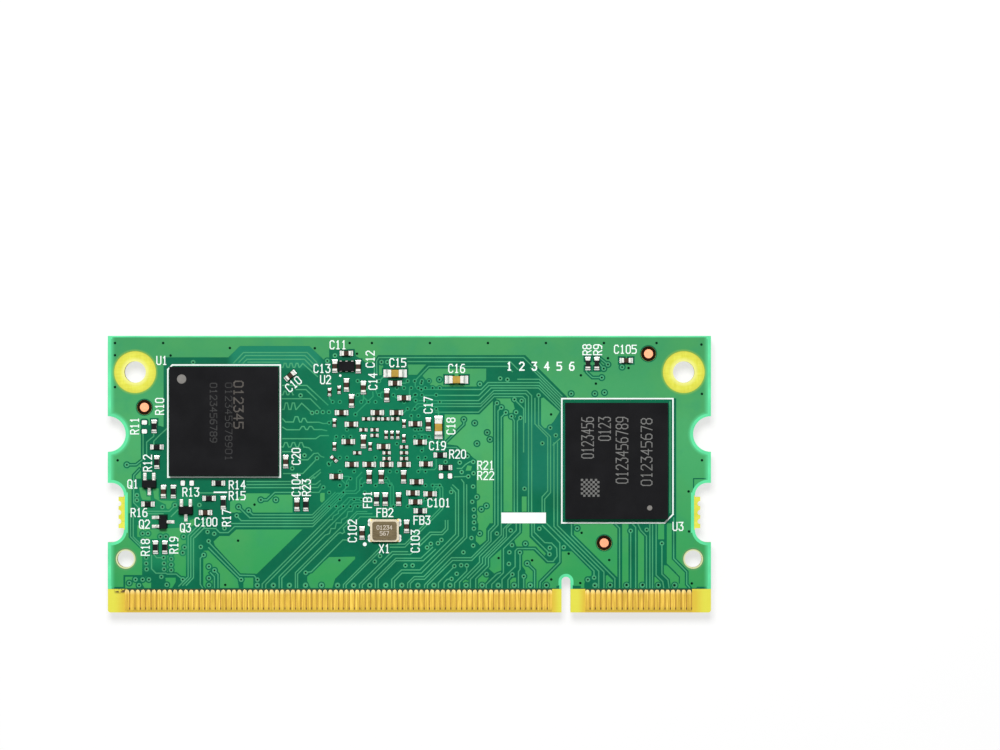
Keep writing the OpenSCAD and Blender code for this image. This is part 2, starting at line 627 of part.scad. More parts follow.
module lower_capacitor_bodies()
    color("saddlebrown") {
        each_on_lower_face(lower_large_places) chip_body(large_chip);
        each_on_lower_face(lower_medium_places) chip_body(medium_chip);
    }
module lower_capacitor_terminals()
    color("silver") {
        each_on_lower_face(lower_large_places) chip_terminals(large_chip);
        each_on_lower_face(lower_medium_places) chip_terminals(medium_chip);
    }
module lower_resistor_bodies()
    color("white") each_on_lower_face(lower_resistor_places) chip_body(resistor_chip);
module lower_resistor_coats()
    color("black") each_on_lower_face(lower_resistor_places) resistor_coat(resistor_chip);
module lower_resistor_terminals()
    color("silver") each_on_lower_face(lower_resistor_places) chip_terminals(resistor_chip);
module lower_solder_fillets()
    color("gainsboro") {
        each_on_lower_face(inductor_places) chip_fillets(inductor_chip);
        each_on_lower_face(lower_large_places) chip_fillets(large_chip);
        each_on_lower_face(lower_medium_places) chip_fillets(medium_chip);
        each_on_lower_face(lower_resistor_places) chip_fillets(resistor_chip);
    }

circuit_board();
memory_side_mask();
processor_side_mask();
memory_side_contacts();
processor_side_contacts();
fiducials();
memory_mould();
memory_carrier();
memory_balls();
storage_mould();
storage_carrier();
storage_balls();
oscillator_base();
oscillator_lid();
oscillator_pads();
regulator_body();
regulator_leads();
transistor_bodies();
transistor_leads();
large_capacitor_bodies();
medium_capacitor_bodies();
small_capacitor_bodies();
capacitor_terminals();
resistor_bodies();
resistor_coats();
resistor_terminals();
bead_bodies();
bead_terminals();
solder_fillets();
bare_pads();
processor_carrier();
processor_balls();
processor_die();
die_paste();
processor_lid();
inductor_bodies();
inductor_terminals();
power_chip_bodies();
power_chip_leads();
lower_capacitor_bodies();
lower_capacitor_terminals();
lower_resistor_bodies();
lower_resistor_coats();
lower_resistor_terminals();
lower_solder_fillets();
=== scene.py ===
"""Looks of a card-edge computer module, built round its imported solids.

Tables hold board millimetres: x from the middle of the board, y from its contact edge.
"""

import json
import math
import random

import bpy
import numpy as np
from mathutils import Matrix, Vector
from mathutils.geometry import convex_hull_2d, delaunay_2d_cdt


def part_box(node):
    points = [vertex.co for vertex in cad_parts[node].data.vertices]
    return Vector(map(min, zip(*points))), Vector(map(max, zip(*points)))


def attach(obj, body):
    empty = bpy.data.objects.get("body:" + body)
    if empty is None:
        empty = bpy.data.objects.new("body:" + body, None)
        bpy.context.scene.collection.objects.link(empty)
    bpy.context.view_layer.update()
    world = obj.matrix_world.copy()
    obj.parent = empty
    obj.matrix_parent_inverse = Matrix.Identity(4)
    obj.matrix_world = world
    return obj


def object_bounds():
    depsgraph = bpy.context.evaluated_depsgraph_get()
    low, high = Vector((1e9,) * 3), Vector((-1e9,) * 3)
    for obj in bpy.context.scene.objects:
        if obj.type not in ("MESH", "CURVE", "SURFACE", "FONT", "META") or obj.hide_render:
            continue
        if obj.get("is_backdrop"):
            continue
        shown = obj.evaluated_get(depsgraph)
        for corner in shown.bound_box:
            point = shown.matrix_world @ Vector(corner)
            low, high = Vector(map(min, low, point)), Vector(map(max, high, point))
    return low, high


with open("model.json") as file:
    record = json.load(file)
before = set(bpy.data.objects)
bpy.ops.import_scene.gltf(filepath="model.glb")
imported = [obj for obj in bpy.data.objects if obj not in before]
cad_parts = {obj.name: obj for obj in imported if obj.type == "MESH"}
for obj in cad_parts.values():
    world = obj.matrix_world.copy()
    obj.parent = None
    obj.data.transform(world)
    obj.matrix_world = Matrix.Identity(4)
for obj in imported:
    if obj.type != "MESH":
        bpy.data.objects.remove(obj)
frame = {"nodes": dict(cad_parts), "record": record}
cad_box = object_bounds()
nodes = frame["nodes"]
MM = 0.001

EDGE_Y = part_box("circuit_board")[0].y / MM
UPPER_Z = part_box("memory_side_mask")[1].z / MM
LOWER_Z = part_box("processor_side_mask")[0].z / MM
MASK_EDGE_Y = 2.7
PLACES_PER_MM = 1e4  # vertices of a node are told apart to this fineness

# Middles of the holes and round notches of the right end, which the left end mirrors

SCREW = (30.75, 26.95)
LOCATOR = (31.8, 6.0)
NOTCH = (33.8, 20.0)

# Heights of the thin layers over what they lie on, and the depth of the pin dimples

COPPER_RISE = 0.018
SILK_RISE = 0.03
OPENING_RISE = 0.004
WELL_RISE = 0.004
TEST_POINT_RISE = 0.02
LAND_RISE = 0.035
MARK_RISE = 0.003
LID_MARK_RISE = 0.002
DIMPLE_DEPTH = 0.05


# What the solids say


def turning(poly):
    """The outline, run counter-clockwise."""
    area = 0.0
    for a, b in zip(poly, poly[1:] + poly[:1]):
        area += a[0] * b[1] - b[0] * a[1]
    return poly if area > 0 else poly[::-1]


def islands(name):
    """Vertices of each separate body of a node, in board millimetres."""
    mesh = nodes[name].data
    flat = np.empty(len(mesh.vertices) * 3)
    mesh.vertices.foreach_get("co", flat)
    co = flat.reshape(-1, 3) / MM
    ids = np.unique(np.round(co * PLACES_PER_MM).astype(int), axis=0, return_inverse=True)[1].ravel()
    parent = list(range(int(ids.max()) + 1))

    def root(i):
        while parent[i] != i:
            parent[i] = parent[parent[i]]
            i = parent[i]
        return i

    for edge in mesh.edges:
        a, b = (root(int(ids[v])) for v in edge.vertices)
        parent[a] = b
    groups = {}
    for vertex, key in enumerate(ids):
        groups.setdefault(root(int(key)), []).append(vertex)
    shift = np.array([0, EDGE_Y, 0])
    return [co[members] - shift for members in groups.values()]


def footprints(*names):
    """Convex outlines, seen from above, of the bodies of these nodes."""
    out = []
    for name in names:
        for body in islands(name):
            flat = [Vector((p[0], p[1])) for p in np.unique(np.round(body[:, :2], 4), axis=0)]
            out.append([flat[i] for i in convex_hull_2d(flat)])
    return out


def top_loops(name, z, flat_within=0.002):
    """Outlines of the flat face of a node at height z, in board millimetres."""
    mesh = nodes[name].data
    keys = []
    for vertex in mesh.vertices:
        x, y, height = vertex.co / MM
        keys.append((round(x, 4), round(y - EDGE_Y, 4), round(height, 3)))
    edges = {}
    for face in mesh.polygons:
        corners = [keys[i] for i in face.vertices]
        if any(abs(c[2] - z) > flat_within for c in corners):
            continue
        for a, b in zip(corners, corners[1:] + corners[:1]):
            edges[(a[:2], b[:2])] = True
    following = {a: b for a, b in edges if (b, a) not in edges}
    loops = []
    while following:
        start, point = following.popitem()
        loop = [start]
        while point != start:
            loop.append(point)
            point = following.pop(point)
        loops.append(turning(loop))
    return loops


def key_gap():
    """Ends of the widest space between neighbouring contacts, which is where the key slot is."""
    spans = sorted((body[:, 0].min(), body[:, 0].max()) for body in islands("memory_side_contacts"))
    gaps = [(after[0] - before[1], before[1], after[0]) for before, after in zip(spans, spans[1:])]
    return max(gaps)[1:]


# Colour and material helpers

NOISE_SPAN = (0.3, 0.7)  # between these lie nearly all values of a noise


def rgb(red, green, blue):
    """Linear colour of an 8-bit display colour."""
    out = []
    for value in (red, green, blue):
        share = value / 255
        out.append(share / 12.92 if share <= 0.04045 else ((share + 0.055) / 1.055) ** 2.4)
    return (*out, 1.0)


def shifted(colour, share):
    """The colour, lightened by a share above 0 or darkened by one below it."""
    return tuple(min(c * (1 + share), 1.0) for c in colour[:3]) + (1.0,)


class Shade:
    """A Principled material with short calls for the textures that feed it."""

    def __init__(self, name, colour, rough, metal=0.0, specular=0.5):
        self.material = bpy.data.materials.new(name)
        self.material.use_nodes = True
        self.tree = self.material.node_tree
        self.bsdf = self.tree.nodes["Principled BSDF"]
        self.bsdf.inputs["Base Color"].default_value = colour
        self.bsdf.inputs["Roughness"].default_value = rough
        self.bsdf.inputs["Metallic"].default_value = metal
        self.bsdf.inputs["Specular IOR Level"].default_value = specular
        self.coords = self.tree.nodes.new("ShaderNodeTexCoord").outputs["Object"]

    def link(self, source, target):
        self.tree.links.new(source, target)

    def feed(self, sockets, values):
        """Gives each socket its value, which is a number, a colour or another socket."""
        for socket, value in zip(sockets, values):
            if isinstance(value, (int, float, tuple)):
                socket.default_value = value
            else:
                self.link(value, socket)

    def noise(self, grain_mm, detail=3.0, stretch=(1, 1, 1)):
        """Noise whose grains measure about grain_mm, drawn out by stretch."""
        mapping = self.tree.nodes.new("ShaderNodeMapping")
        scale = 1 / (grain_mm * MM)
        mapping.inputs["Scale"].default_value = [scale / s for s in stretch]
        self.link(self.coords, mapping.inputs["Vector"])
        noise = self.tree.nodes.new("ShaderNodeTexNoise")
        noise.inputs["Scale"].default_value = 1.0
        noise.inputs["Detail"].default_value = detail
        self.link(mapping.outputs["Vector"], noise.inputs["Vector"])
        return noise.outputs["Fac"]

    def axis(self, letter, vector=None):
        """One coordinate of a vector, or of the place on the object in metres."""
        split = self.tree.nodes.new("ShaderNodeSeparateXYZ")
        self.link(self.coords if vector is None else vector, split.inputs["Vector"])
        return split.outputs[letter]

    def math(self, operation, *values):
        node = self.tree.nodes.new("ShaderNodeMath")
        node.operation = operation
        self.feed(node.inputs, values)
        return node.outputs[0]

    def times(self, first, second):
        return self.math("MULTIPLY", first, second)

    def below(self, value, limit_mm):
        """1 where a length is below the limit, else 0."""
        return self.math("LESS_THAN", value, limit_mm * MM)

    def above(self, value, limit_mm):
        """1 where a length is above the limit, else 0."""
        return self.math("GREATER_THAN", value, limit_mm * MM)

    def off(self, letter, place_mm):
        """How far a point lies from a place on one axis, either way."""
        return self.math("ABSOLUTE", self.math("SUBTRACT", self.axis(letter), place_mm * MM))

    def distance(self, x, y):
        """Distance in the board's plane from a point, or from its mirror image at the other end."""
        across = self.math("SUBTRACT", self.off("X", 0), x * MM)
        along = self.off("Y", y + EDGE_Y)
        return self.math("SQRT", self.math("ADD", self.times(across, across), self.times(along, along)))

    def spread(self, value, low, high, out_low=0.0, out_high=1.0):
        """Maps low..high smoothly to out_low..out_high."""
        node = self.tree.nodes.new("ShaderNodeMapRange")
        node.interpolation_type = "SMOOTHSTEP"
        self.feed(node.inputs, (value, low, high, out_low, out_high))
        return node.outputs[0]

    def fade(self, value, start_mm, full_mm, most=1.0):
        """0 where a length is start_mm, rising to the share most where it is full_mm."""
        return self.spread(value, start_mm * MM, full_mm * MM, 0.0, most)

    def near(self, x, y, half_wide, half_high, soft, most=1.0):
        """The share most in a box on the board, falling to 0 round it."""
        inside_x = self.fade(self.off("X", x), half_wide + soft, half_wide)
        inside_y = self.fade(self.off("Y", y + EDGE_Y), half_high + soft, half_high, most)
        return self.times(inside_x, inside_y)

    def ramp(self, value, *stops):
        node = self.tree.nodes.new("ShaderNodeValToRGB")
        ramp = node.color_ramp
        while len(ramp.elements) < len(stops):
            ramp.elements.new(0.5)
        for element, (place, colour) in zip(ramp.elements, stops):
            element.position = place
            element.color = colour
        self.link(value, node.inputs["Fac"])
        return node.outputs["Color"]

    def drift(self, noise, first, second):
        """A colour that drifts with a noise from the first to the second."""
        return self.ramp(noise, *zip(NOISE_SPAN, (first, second)))

    def mix(self, share, first, second):
        """The first colour, turning to the second by a share. Sockets 6 and 7 take the colours."""
        node = self.tree.nodes.new("ShaderNodeMix")
        node.data_type = "RGBA"
        self.feed((node.inputs["Factor"], node.inputs[6], node.inputs[7]), (share, first, second))
        return node.outputs[2]

    def edge_glow(self, colour):
        """The colour, with painted light glowing through the board's edges: mint at the ends and
        notches, yellow round the holes.
        """
        ends = self.fade(self.off("X", 0), *END_FADE)
        notch = self.fade(self.distance(*NOTCH), *NOTCH_FADE)
        colour = self.mix(self.math("MAXIMUM", ends, notch), colour, MINT_EDGE_GLOW)
        colour = self.mix(self.fade(self.distance(*SCREW), *SCREW_FADE), colour, SCREW_GLOW)
        return self.mix(self.fade(self.distance(*LOCATOR), *LOCATOR_FADE), colour, LOCATOR_GLOW)

    def colour(self, socket):
        self.link(socket, self.bsdf.inputs["Base Color"])

    def rough(self, noise, low, high):
        self.link(self.spread(noise, *NOISE_SPAN, low, high), self.bsdf.inputs["Roughness"])

    def bump(self, noise, depth_mm):
        node = self.tree.nodes.new("ShaderNodeBump")
        node.inputs["Distance"].default_value = depth_mm * MM
        self.link(noise, node.inputs["Height"])
        self.link(node.outputs["Normal"], self.bsdf.inputs["Normal"])


# Materials

MASK_BARE = rgb(2, 104, 72)
MASK_MIDDLE = rgb(4, 116, 80)
MINT_EDGE_GLOW = rgb(98, 224, 160)
SCREW_GLOW = rgb(150, 186, 66)
LOCATOR_GLOW = rgb(150, 196, 130)
POUR_FAR = rgb(58, 146, 90)
POUR_MIDDLE = rgb(70, 163, 101)
POUR_NEAR = rgb(46, 150, 82)
POUR_WARM = rgb(74, 156, 86)
POUR_COOL = rgb(50, 144, 98)
TRACK_MINT = rgb(72, 161, 113)
TRACK_MIDDLE = rgb(38, 143, 99)
LAMINATE = rgb(216, 216, 70)
LAMINATE_DARK = rgb(208, 207, 54)
LAMINATE_PALE = rgb(224, 224, 82)
LAMINATE_LIT_THROUGH = rgb(218, 212, 64)
LAMINATE_GOLDEN = rgb(214, 174, 44)
LOCATOR_RING_GLOW = rgb(206, 212, 158)
RING_GLOW_OUTER = rgb(196, 194, 58)
RING_GLOW_INNER = rgb(236, 236, 152)
GRIME = rgb(62, 30, 14)
CONTACT_GAP_TONE = rgb(178, 134, 42)
# painted shadow along the mask's edge, at the inner ends of the gaps between the contacts
MASK_EDGE_SHADOW = rgb(40, 52, 20)
CONTACT_GAP_SPOT = rgb(96, 66, 20)
CONTACT_EDGE_STRIP = rgb(202, 170, 54)
PLY_DARK = rgb(150, 140, 70)
PLY_PALE = rgb(214, 202, 120)
GOLD = rgb(204, 169, 70)
GOLD_WORN = rgb(196, 160, 58)
GOLD_BRIGHT = rgb(218, 186, 88)
GOLD_DULL = rgb(200, 162, 63)
GOLD_OUTER = rgb(172, 150, 50)
GOLD_HIGHLIGHT = rgb(246, 226, 168)
MOULD = rgb(18, 18, 20)
MOULD_DARK = rgb(14, 14, 16)
MOULD_PALE = rgb(22, 22, 24)
MOULD_SPECK = rgb(52, 52, 54)

# How far the painted glow on the mask reaches: where it starts and is full, from the board's or a
# hole's middle, and its share

END_FADE = (32.9, 33.7, 0.8)
NOTCH_FADE = (2.7, 2.1, 0.8)
SCREW_FADE = (2.65, 2.3, 0.6)
LOCATOR_FADE = (1.35, 1.05, 0.5)

# Places on the board: middle, half width, half height and how far round it they fade

CROWDED = (-3.0, 18.5, 5.0, 6.0, 4.0)
SMUDGE = (-32.4, 2.5, 0.4, 0.1, 0.4)

# Where the bare mask has another tone, that tone, and its share

MASK_TINTS = [
    (CROWDED, MASK_MIDDLE, 0.75),
    ((-27.4, 9.4, 2.4, 3.4, 2.0), rgb(26, 132, 86), 0.7),
    ((14.8, 18.0, 1.4, 3.4, 2.0), rgb(22, 116, 92), 0.7),
    ((-15.0, 28.9, 4.6, 0.9, 1.0), rgb(30, 132, 100), 0.7),
]


def mask_shade():
    """Solder mask over bare laminate: deep green, lighter over the middle of the board."""
    shade = Shade("mask_bare", MASK_BARE, 0.36, 0.0, 0.07)
    deep = shade.drift(shade.noise(3.0), shifted(MASK_BARE, -0.18), shifted(MASK_BARE, 0.03))
    for place, tone, share in MASK_TINTS:
        deep = shade.mix(shade.near(*place, share), deep, tone)
    shade.colour(shade.edge_glow(deep))
    peel = shade.noise(0.35, 2.0)
    shade.rough(peel, 0.3, 0.42)
    shade.bump(peel, 0.004)
    return shade.material


def pour_shade():
    """Solder mask over copper: light green, paler to the far edge, with soft drifts of tone."""
    shade = Shade("mask_over_copper", POUR_FAR, 0.34, 0.0, 0.1)
    y = shade.axis("Y")
    tone = shade.mix(shade.fade(y, -13, 6), POUR_NEAR, POUR_MIDDLE)
    tone = shade.mix(shade.fade(y, 4, 14), tone, POUR_FAR)
    tone = shade.mix(shade.spread(shade.noise(5.0, 4.0), 0.35, 0.7, 0.0, 0.45), tone, POUR_WARM)
    tone = shade.mix(shade.spread(shade.noise(2.2), 0.5, 0.75, 0.0, 0.35), tone, POUR_COOL)
    shade.colour(shade.edge_glow(tone))
    peel = shade.noise(0.3, 2.0)
    shade.rough(peel, 0.28, 0.4)
    shade.bump(peel, 0.003)
    return shade.material


def track_shade():
    """Solder mask over thin tracks: paler than over pours, and duller in the crowded middle."""
    shade = Shade("mask_over_tracks", TRACK_MINT, 0.36, 0.0, 0.08)
    pale = shade.drift(shade.noise(3.0), shifted(TRACK_MINT, -0.2), shifted(TRACK_MINT, 0.06))
    shade.colour(shade.mix(shade.near(*CROWDED), pale, TRACK_MIDDLE))
    return shade.material


def laminate_shade():
    """Bare laminate: yellow, with its glass weave, darker between the contacts and golden beside them,
    with painted light and shade near its edges and holes.
    """
    shade = Shade("bare_laminate", LAMINATE, 0.55, 0.0, 0.3)
    contacts_low, contacts_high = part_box("memory_side_contacts")
    last_x = contacts_high.x / MM
    outer_y = contacts_low.y / MM
    inner_y = contacts_high.y / MM
    key_low, key_high = key_gap()
    key_half = (key_high - key_low) / 2
    y = shade.axis("Y")
    from_middle = shade.off("X", 0)
    from_key = shade.off("X", (key_low + key_high) / 2)
    from_screw = shade.distance(*SCREW)

    warp = shade.noise(0.25, 1.0, (1, 6, 6))
    weft = shade.noise(0.25, 1.0, (6, 1, 6))
    weave = shade.math("ADD", shade.times(warp, 0.5), shade.times(weft, 0.5))
    body = shade.ramp(weave, (0.35, LAMINATE_DARK), (0.65, LAMINATE_PALE))
    # Beside the contacts the laminate is golden, paling to lemon towards the ends and the key slot:
    # painted light shining through the laminate
    outside = shade.fade(from_middle, last_x + 0.2, last_x + 1.6)
    by_key = shade.fade(from_key, key_half, key_half / 2)
    beside = shade.mix(shade.math("MAXIMUM", outside, by_key), LAMINATE_GOLDEN, LAMINATE_LIT_THROUGH)
    body = shade.mix(shade.fade(y, inner_y + 0.2, inner_y - 0.2, 0.8), body, beside)
    grime = shade.times(shade.near(*SMUDGE), shade.spread(shade.noise(0.3), 0.4, 0.52))
    body = shade.mix(grime, body, GRIME)
    # painted glow on the laminate round the locating hole
    body = shade.mix(shade.fade(shade.distance(*LOCATOR), 1.7, 1.3), body, LOCATOR_RING_GLOW)

    in_row = shade.times(shade.below(from_middle, last_x + 0.1), shade.above(from_key, key_half))
    # Between the contacts the laminate is darker, with painted shadow along the mask's edge at their
    # inner ends, darker spots near the outer ends and a golden strip at the very edge
    between_contacts = shade.times(in_row, shade.below(y, inner_y + 0.1))
    body = shade.mix(between_contacts, body, CONTACT_GAP_TONE)
    body = shade.mix(shade.times(between_contacts, shade.above(y, inner_y - 0.3)), body, MASK_EDGE_SHADOW)
    spots = shade.fade(shade.off("Y", EDGE_Y + 0.45), 0.16, 0.06)
    body = shade.mix(shade.times(between_contacts, spots), body, CONTACT_GAP_SPOT)
    body = shade.mix(shade.times(between_contacts, shade.below(y, outer_y - 0.02)), body, CONTACT_EDGE_STRIP)

    # Round the screw holes the bare ring carries a painted glow, palest at the hole and darker towards
    # the mask's edge
    ring = shade.times(shade.fade(from_screw, 1.8, 2.35, 0.6), shade.below(from_screw, 2.6))
    body = shade.mix(ring, body, RING_GLOW_OUTER)
    body = shade.mix(shade.fade(from_screw, 1.75, 1.2, 0.65), body, RING_GLOW_INNER)

    plies = shade.noise(0.12, 2.0, (60, 60, 1))
    cut_face = shade.ramp(plies, (0.42, PLY_DARK), (0.58, PLY_PALE))
    normal = shade.tree.nodes.new("ShaderNodeNewGeometry").outputs["Normal"]
    upright = shade.math("LESS_THAN", shade.math("ABSOLUTE", shade.axis("Z", normal)), 0.5)
    shade.colour(shade.mix(upright, body, cut_face))
    shade.rough(weave, 0.45, 0.65)
    shade.bump(weave, 0.006)
    return shade.material


def gold_shade():
    """Gold plate, with wear drawn out along the contacts, a painted highlight at the inner ends and
    dull outer ends.
    """
    shade = Shade("gold_plate", GOLD, 0.3, 1.0)
    wear = shade.noise(0.07, 2.0, (1, 40, 1))
    tone = shade.ramp(wear, (0.3, GOLD_WORN), (0.55, GOLD), (0.75, GOLD_BRIGHT))
    tone = shade.mix(shade.spread(shade.noise(4.0), 0.35, 0.7, 0.0, 0.5), tone, GOLD_DULL)
    y = shade.axis("Y")
    tone = shade.mix(shade.fade(y, EDGE_Y + 0.8, EDGE_Y + 0.3, 0.45), tone, GOLD_OUTER)
    # painted highlight on the rounded inner ends of the contacts
    shade.colour(shade.mix(shade.fade(y, EDGE_Y + 1.9, EDGE_Y + 2.5, 0.45), tone, GOLD_HIGHLIGHT))
    shade.rough(wear, 0.24, 0.4)
    shade.bump(wear, 0.002)
    return shade.material


def mould_shade():
    """Black mould compound with fine pale filler specks."""
    shade = Shade("mould_compound", MOULD, 0.62, 0.0, 0.06)
    speck = shade.noise(0.05, 2.0)
    ground = shade.drift(shade.noise(2.5), MOULD_DARK, MOULD_PALE)
    shade.colour(shade.mix(shade.spread(speck, 0.6, 0.78, 0.0, 0.4), ground, MOULD_SPECK))
    shade.rough(speck, 0.55, 0.72)
    shade.bump(speck, 0.006)
    return shade.material


def steel_shade(name, colour, rough, grain_mm, stretch):
    """Metal with fine rolling lines drawn out one way."""
    shade = Shade(name, colour, rough, 1.0)
    lines = shade.noise(grain_mm, 3.0, stretch)
    brushed = shade.drift(lines, shifted(colour, -0.14), shifted(colour, 0.08))
    cloud = shade.spread(shade.noise(3.0), 0.4, 0.7, 0.0, 0.3)
    shade.colour(shade.mix(cloud, brushed, shifted(colour, -0.2)))
    shade.rough(lines, rough - 0.06, rough + 0.1)
    shade.bump(lines, 0.001)
    return shade.material


def mottled_shade(name, colour, rough, metal, specular, patch, vary, grain, depth):
    """A material whose colour and gloss drift in patches, over a fine-grained surface."""
    shade = Shade(name, colour, rough, metal, specular)
    shade.colour(shade.drift(shade.noise(patch), shifted(colour, -vary), shifted(colour, vary * 0.4)))
    fine = shade.noise(grain, 2.0)
    shade.rough(fine, rough - 0.07, rough + 0.09)
    shade.bump(fine, depth)
    return shade.material


# Slot: material name, colour, roughness, metal, specular, patch mm, drift, grain mm, bump mm

MOTTLED = {
    # The mask's copper-free rim is drawn in mint, a painted glow through the board's edge
    "mint": ("mask_edge_glow", MINT_EDGE_GLOW, 0.36, 0.0, 0.1, 2.0, 0.14, 0.3, 0.003),
    # dark dots, painted shade in the via holes, which are not cut
    "via": ("via_hole_shade", rgb(0, 40, 24), 0.5, 0.0, 0.02, 0.5, 0.2, 0.05, 0.002),
    # dark mask openings, darkened as painted shade round the chips
    "opening": ("pad_opening_and_shade", rgb(4, 62, 40), 0.5, 0.0, 0.02, 0.6, 0.3, 0.1, 0.003),
    "copper": ("bare_copper", rgb(244, 160, 118), 0.32, 0.6, 0.5, 0.4, 0.12, 0.06, 0.002),
    "carrier": ("package_substrate", rgb(36, 74, 34), 0.4, 0.0, 0.4, 0.8, 0.2, 0.1, 0.003),
    "solder": ("solder", rgb(226, 228, 224), 0.28, 0.4, 0.5, 0.25, 0.14, 0.06, 0.004),
    "tin": ("tin_plate", rgb(208, 208, 200), 0.34, 0.4, 0.5, 0.2, 0.16, 0.05, 0.003),
    "ceramic_base": ("cream_ceramic", rgb(220, 208, 180), 0.5, 0.0, 0.4, 0.5, 0.12, 0.06, 0.004),
    "capacitor_brown": ("brown_ceramic", rgb(66, 46, 35), 0.45, 0.0, 0.1, 0.3, 0.25, 0.04, 0.004),
    "capacitor_ochre": ("ochre_ceramic", rgb(180, 146, 56), 0.45, 0.0, 0.2, 0.4, 0.2, 0.05, 0.004),
    "alumina": ("white_alumina", rgb(226, 226, 220), 0.55, 0.0, 0.4, 0.4, 0.08, 0.05, 0.003),
    "resistor_coat": ("black_coat", rgb(16, 16, 18), 0.4, 0.0, 0.1, 0.3, 0.25, 0.06, 0.004),
    "ferrite": ("ferrite", rgb(38, 38, 41), 0.6, 0.0, 0.12, 0.4, 0.25, 0.06, 0.008),
    "silicon": ("silicon", rgb(110, 114, 124), 0.15, 0.6, 0.5, 2.0, 0.1, 0.3, 0.001),
    "paste": ("thermal_paste", rgb(158, 158, 158), 0.6, 0.0, 0.3, 0.8, 0.15, 0.2, 0.02),
    "silk": ("silk_ink", rgb(240, 248, 244), 0.55, 0.0, 0.3, 0.6, 0.06, 0.08, 0.004),
    "mark": ("laser_mark", rgb(120, 120, 118), 0.7, 0.0, 0.1, 0.3, 0.25, 0.05, 0.003),
    "mark_middle": ("laser_mark_dim", rgb(86, 82, 78), 0.7, 0.0, 0.1, 0.3, 0.3, 0.05, 0.003),
    "mark_faint": ("laser_mark_faint", rgb(62, 62, 62), 0.7, 0.0, 0.1, 0.3, 0.3, 0.05, 0.003),
    "mark_lid": ("lid_mark", rgb(206, 196, 180), 0.5, 0.0, 0.2, 0.3, 0.2, 0.05, 0.002),
    "well": ("fiducial_well", rgb(36, 20, 8), 0.6, 0.0, 0.02, 0.4, 0.3, 0.06, 0.003),
    "pin": ("pin_mark", rgb(122, 119, 115), 0.5, 0.0, 0.3, 0.4, 0.15, 0.06, 0.003),
}

SHADES = {
    "mask": mask_shade(),
    "pour": pour_shade(),
    "track": track_shade(),
    "laminate": laminate_shade(),
    "gold": gold_shade(),
    "mould": mould_shade(),
    "oscillator_metal": steel_shade("lid_plate", rgb(95, 85, 64), 0.36, 0.06, (10, 1, 1)),
    "lid_metal": steel_shade("nickel_plate", rgb(178, 178, 175), 0.36, 0.12, (40, 1, 1)),
}
for key, values in MOTTLED.items():
    SHADES[key] = mottled_shade(*values)

# Widths in millimetres of the rounding on the edges of the solids

EDGE_ROUND = {
    "memory_mould": 0.05, "storage_mould": 0.05, "processor_lid": 0.1, "oscillator_lid": 0.06,
    "oscillator_base": 0.04, "memory_side_contacts": 0.012, "processor_side_contacts": 0.012,
    "large_capacitor_bodies": 0.05, "medium_capacitor_bodies": 0.04, "small_capacitor_bodies": 0.03,
    "capacitor_terminals": 0.035, "resistor_bodies": 0.02, "resistor_coats": 0.01,
    "lower_resistor_coats": 0.01, "resistor_terminals": 0.03, "bead_bodies": 0.03,
    "bead_terminals": 0.03, "inductor_bodies": 0.1, "inductor_terminals": 0.04,
    "lower_capacitor_bodies": 0.04, "lower_capacitor_terminals": 0.035, "lower_resistor_bodies": 0.02,
    "lower_resistor_terminals": 0.03, "power_chip_bodies": 0.03, "regulator_body": 0.03,
    "transistor_bodies": 0.04, "transistor_leads": 0.02, "regulator_leads": 0.015,
    "power_chip_leads": 0.015, "oscillator_pads": 0.015,
}

WELD_METRES = 1e-7
CRISP_ANGLE = math.radians(35)


def finish_nodes():
    """Gives each solid its material and, where it has crisp edges, a small rounding."""
    slots = {part["node"]: part["material_slot"] for part in frame["record"]["subparts"]}
    for name, node in nodes.items():
        node.data.materials.clear()
        node.data.materials.append(SHADES[slots[name]])
        if name not in EDGE_ROUND:
            continue
        weld = node.modifiers.new("weld", "WELD")
        weld.merge_threshold = WELD_METRES
        bevel = node.modifiers.new("rounding", "BEVEL")
        bevel.width = EDGE_ROUND[name] * MM
        bevel.segments = 2
        bevel.limit_method = "ANGLE"
        bevel.angle_limit = CRISP_ANGLE


# Flat layers: shapes of several kinds cut each other, and a rule says which pieces are kept

SHAKE = 0.0008  # each shape is moved by less than this, so that no two edges lie on each other
SHAKE_SEED = 11
CUT_EPSILON = 1e-5
SHARPEST = 0.4  # limits the reach of a mitred corner
HOLE_SIDES = 10
DISC_SIDES = 32


def regions(shapes):
    """Triangles that the shapes cut the plane into, each with the kinds of the shapes over it."""
    shake = random.Random(SHAKE_SEED)
    corners = []
    faces = []
    kinds = []
    for kind, poly in shapes:
        dx = shake.uniform(-SHAKE, SHAKE)
        dy = shake.uniform(-SHAKE, SHAKE)
        start = len(corners)
        corners += [Vector((p[0] + dx, p[1] + dy)) for p in turning(poly)]
        faces.append(list(range(start, len(corners))))
        kinds.append(kind)
    points, _, triangles, _, _, owners = delaunay_2d_cdt(corners, [], faces, 1, CUT_EPSILON, True)
    return points, triangles, [{kinds[face] for face in group} for group in owners]


def anything(kinds):
    return True


